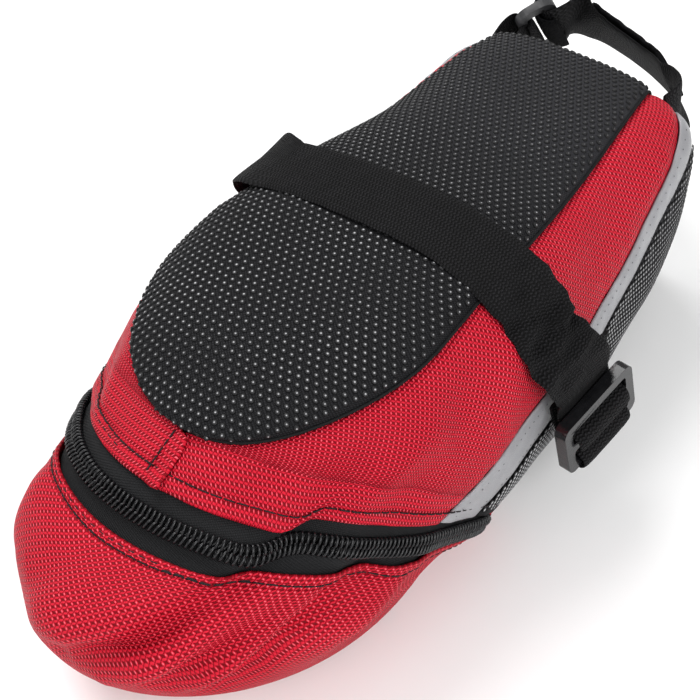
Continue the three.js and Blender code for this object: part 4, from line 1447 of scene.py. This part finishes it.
def make_hard_pieces():
    soften("ladder_lock", plastic_paint, width=0.7)
    soften("post_strap_ring", moulded("ring_acetal", RING_BLACK, roughness=0.42), width=0.6)
    soften("zip_slider", metal_paint, width=0.3)
    soften("zip_puller", metal_paint, width=0.25)
    board_paint = grainy(
        "board", BOARD, roughness=0.45, scale=600, detail=3, dark=(0.3, 0.85), light=(0.75, 1), bump=0.0001
    )
    soften("base_board", board_paint, width=0.3)


def make_padding(name, node, s, angles, paint):
    rows = np.broadcast_to(s[:, None], angles.shape)
    grid = cloth(rows, angles, PADDING_DEPTH)
    piece = shell(name, grid, PADDING, flatten(grid))
    put(piece, "bag", paint, node, slot="foam")


def make_foam():
    """The foam sheets under the top panel and the side panels."""
    paint = grainy(
        "foam", FOAM, roughness=0.9, scale=900, detail=5, dark=(0.3, 0.7), light=(0.75, 1), bump=0.0004
    )
    s = rows_between(8, 150, 3.0)
    x = np.linspace(-1, 1, 31) * (np.minimum(tongue_edge(s, 1), 32)[:, None] - 2)
    make_padding("top_padding", "top_foam", s, angle_of_half(s[:, None], x), paint)
    s = rows_between(14, 160, 3.0)
    for side, sign in SIDES:
        start = angle_of_half(s, tongue_edge(s, sign) + 2)
        end = np.maximum(tape_angle(s, 1, 2), start + 0.05)
        angles = even_angles(s, sign * start, sign * end, columns=22)
        make_padding(f"side_padding_{side}", f"side_foam_{side}", s, angles, paint)


# ---- floor, light and camera
def make_stage():
    mesh = bpy.data.meshes.new("floor")
    mesh.from_pydata([(-4, -4, 0), (4, -4, 0), (4, 4, 0), (-4, 4, 0)], [], [(0, 1, 2, 3)])
    paint = grainy(
        "floor_paper", FLOOR, roughness=0.7, scale=90, detail=3, dark=(0.2, 0.99), light=(0.8, 1), bump=0
    )
    mesh.materials.append(paint)
    floor = add_object("floor", mesh)
    floor.location.z = -0.0002


def aim(thing, place, target):
    thing.location = place
    thing.rotation_euler = (Vector(target) - Vector(place)).to_track_quat("-Z", "Y").to_euler()


def area_light(name, place, target, size, power):
    data = bpy.data.lights.new(name, "AREA")
    data.shape = "DISK"
    data.size = size
    data.energy = power
    aim(add_object(name, data), place, target)


def make_lights():
    world = bpy.data.worlds.new("studio")
    world.use_nodes = True
    back = world.node_tree.nodes["Background"]
    back.inputs["Color"].default_value = (1, 1, 1, 1)
    back.inputs["Strength"].default_value = 0.52
    bpy.context.scene.world = world
    area_light("key", (-0.50, 0.10, 0.75), (0, -0.05, 0.03), size=0.7, power=7.5)
    area_light("fill", (0.75, -0.35, 0.60), (0, -0.05, 0.03), size=0.7, power=7)
    area_light("tail", (-0.20, -0.90, 0.45), (0, -0.08, 0.03), size=0.5, power=1.5)


CAMERA_AT = (0.1710, -0.3078, 0.3474)
CAMERA_TARGET = (-0.00355, -0.0625, 0.0350)
CAMERA_LENS = 87.04


def make_camera():
    data = bpy.data.cameras.new("camera")
    data.lens = CAMERA_LENS
    data.sensor_width = 36
    data.clip_start = 0.01
    camera = add_object("camera", data)
    aim(camera, CAMERA_AT, CAMERA_TARGET)
    bpy.context.scene.camera = camera


bpy.context.scene.view_settings.view_transform = "Standard"
make_camera()
top_v = make_top()
make_top_dots(top_v)
make_sides()
make_base()
make_base_dots()
make_front()
make_flap()
make_linings()
make_hinge_panel()
make_zip()
make_stitches()
make_loose_threads()
make_saddle_strap()
make_buckle_webbing()
make_post_strap()
make_ring_tab()
make_hard_pieces()
make_foam()
make_stage()
make_lights()
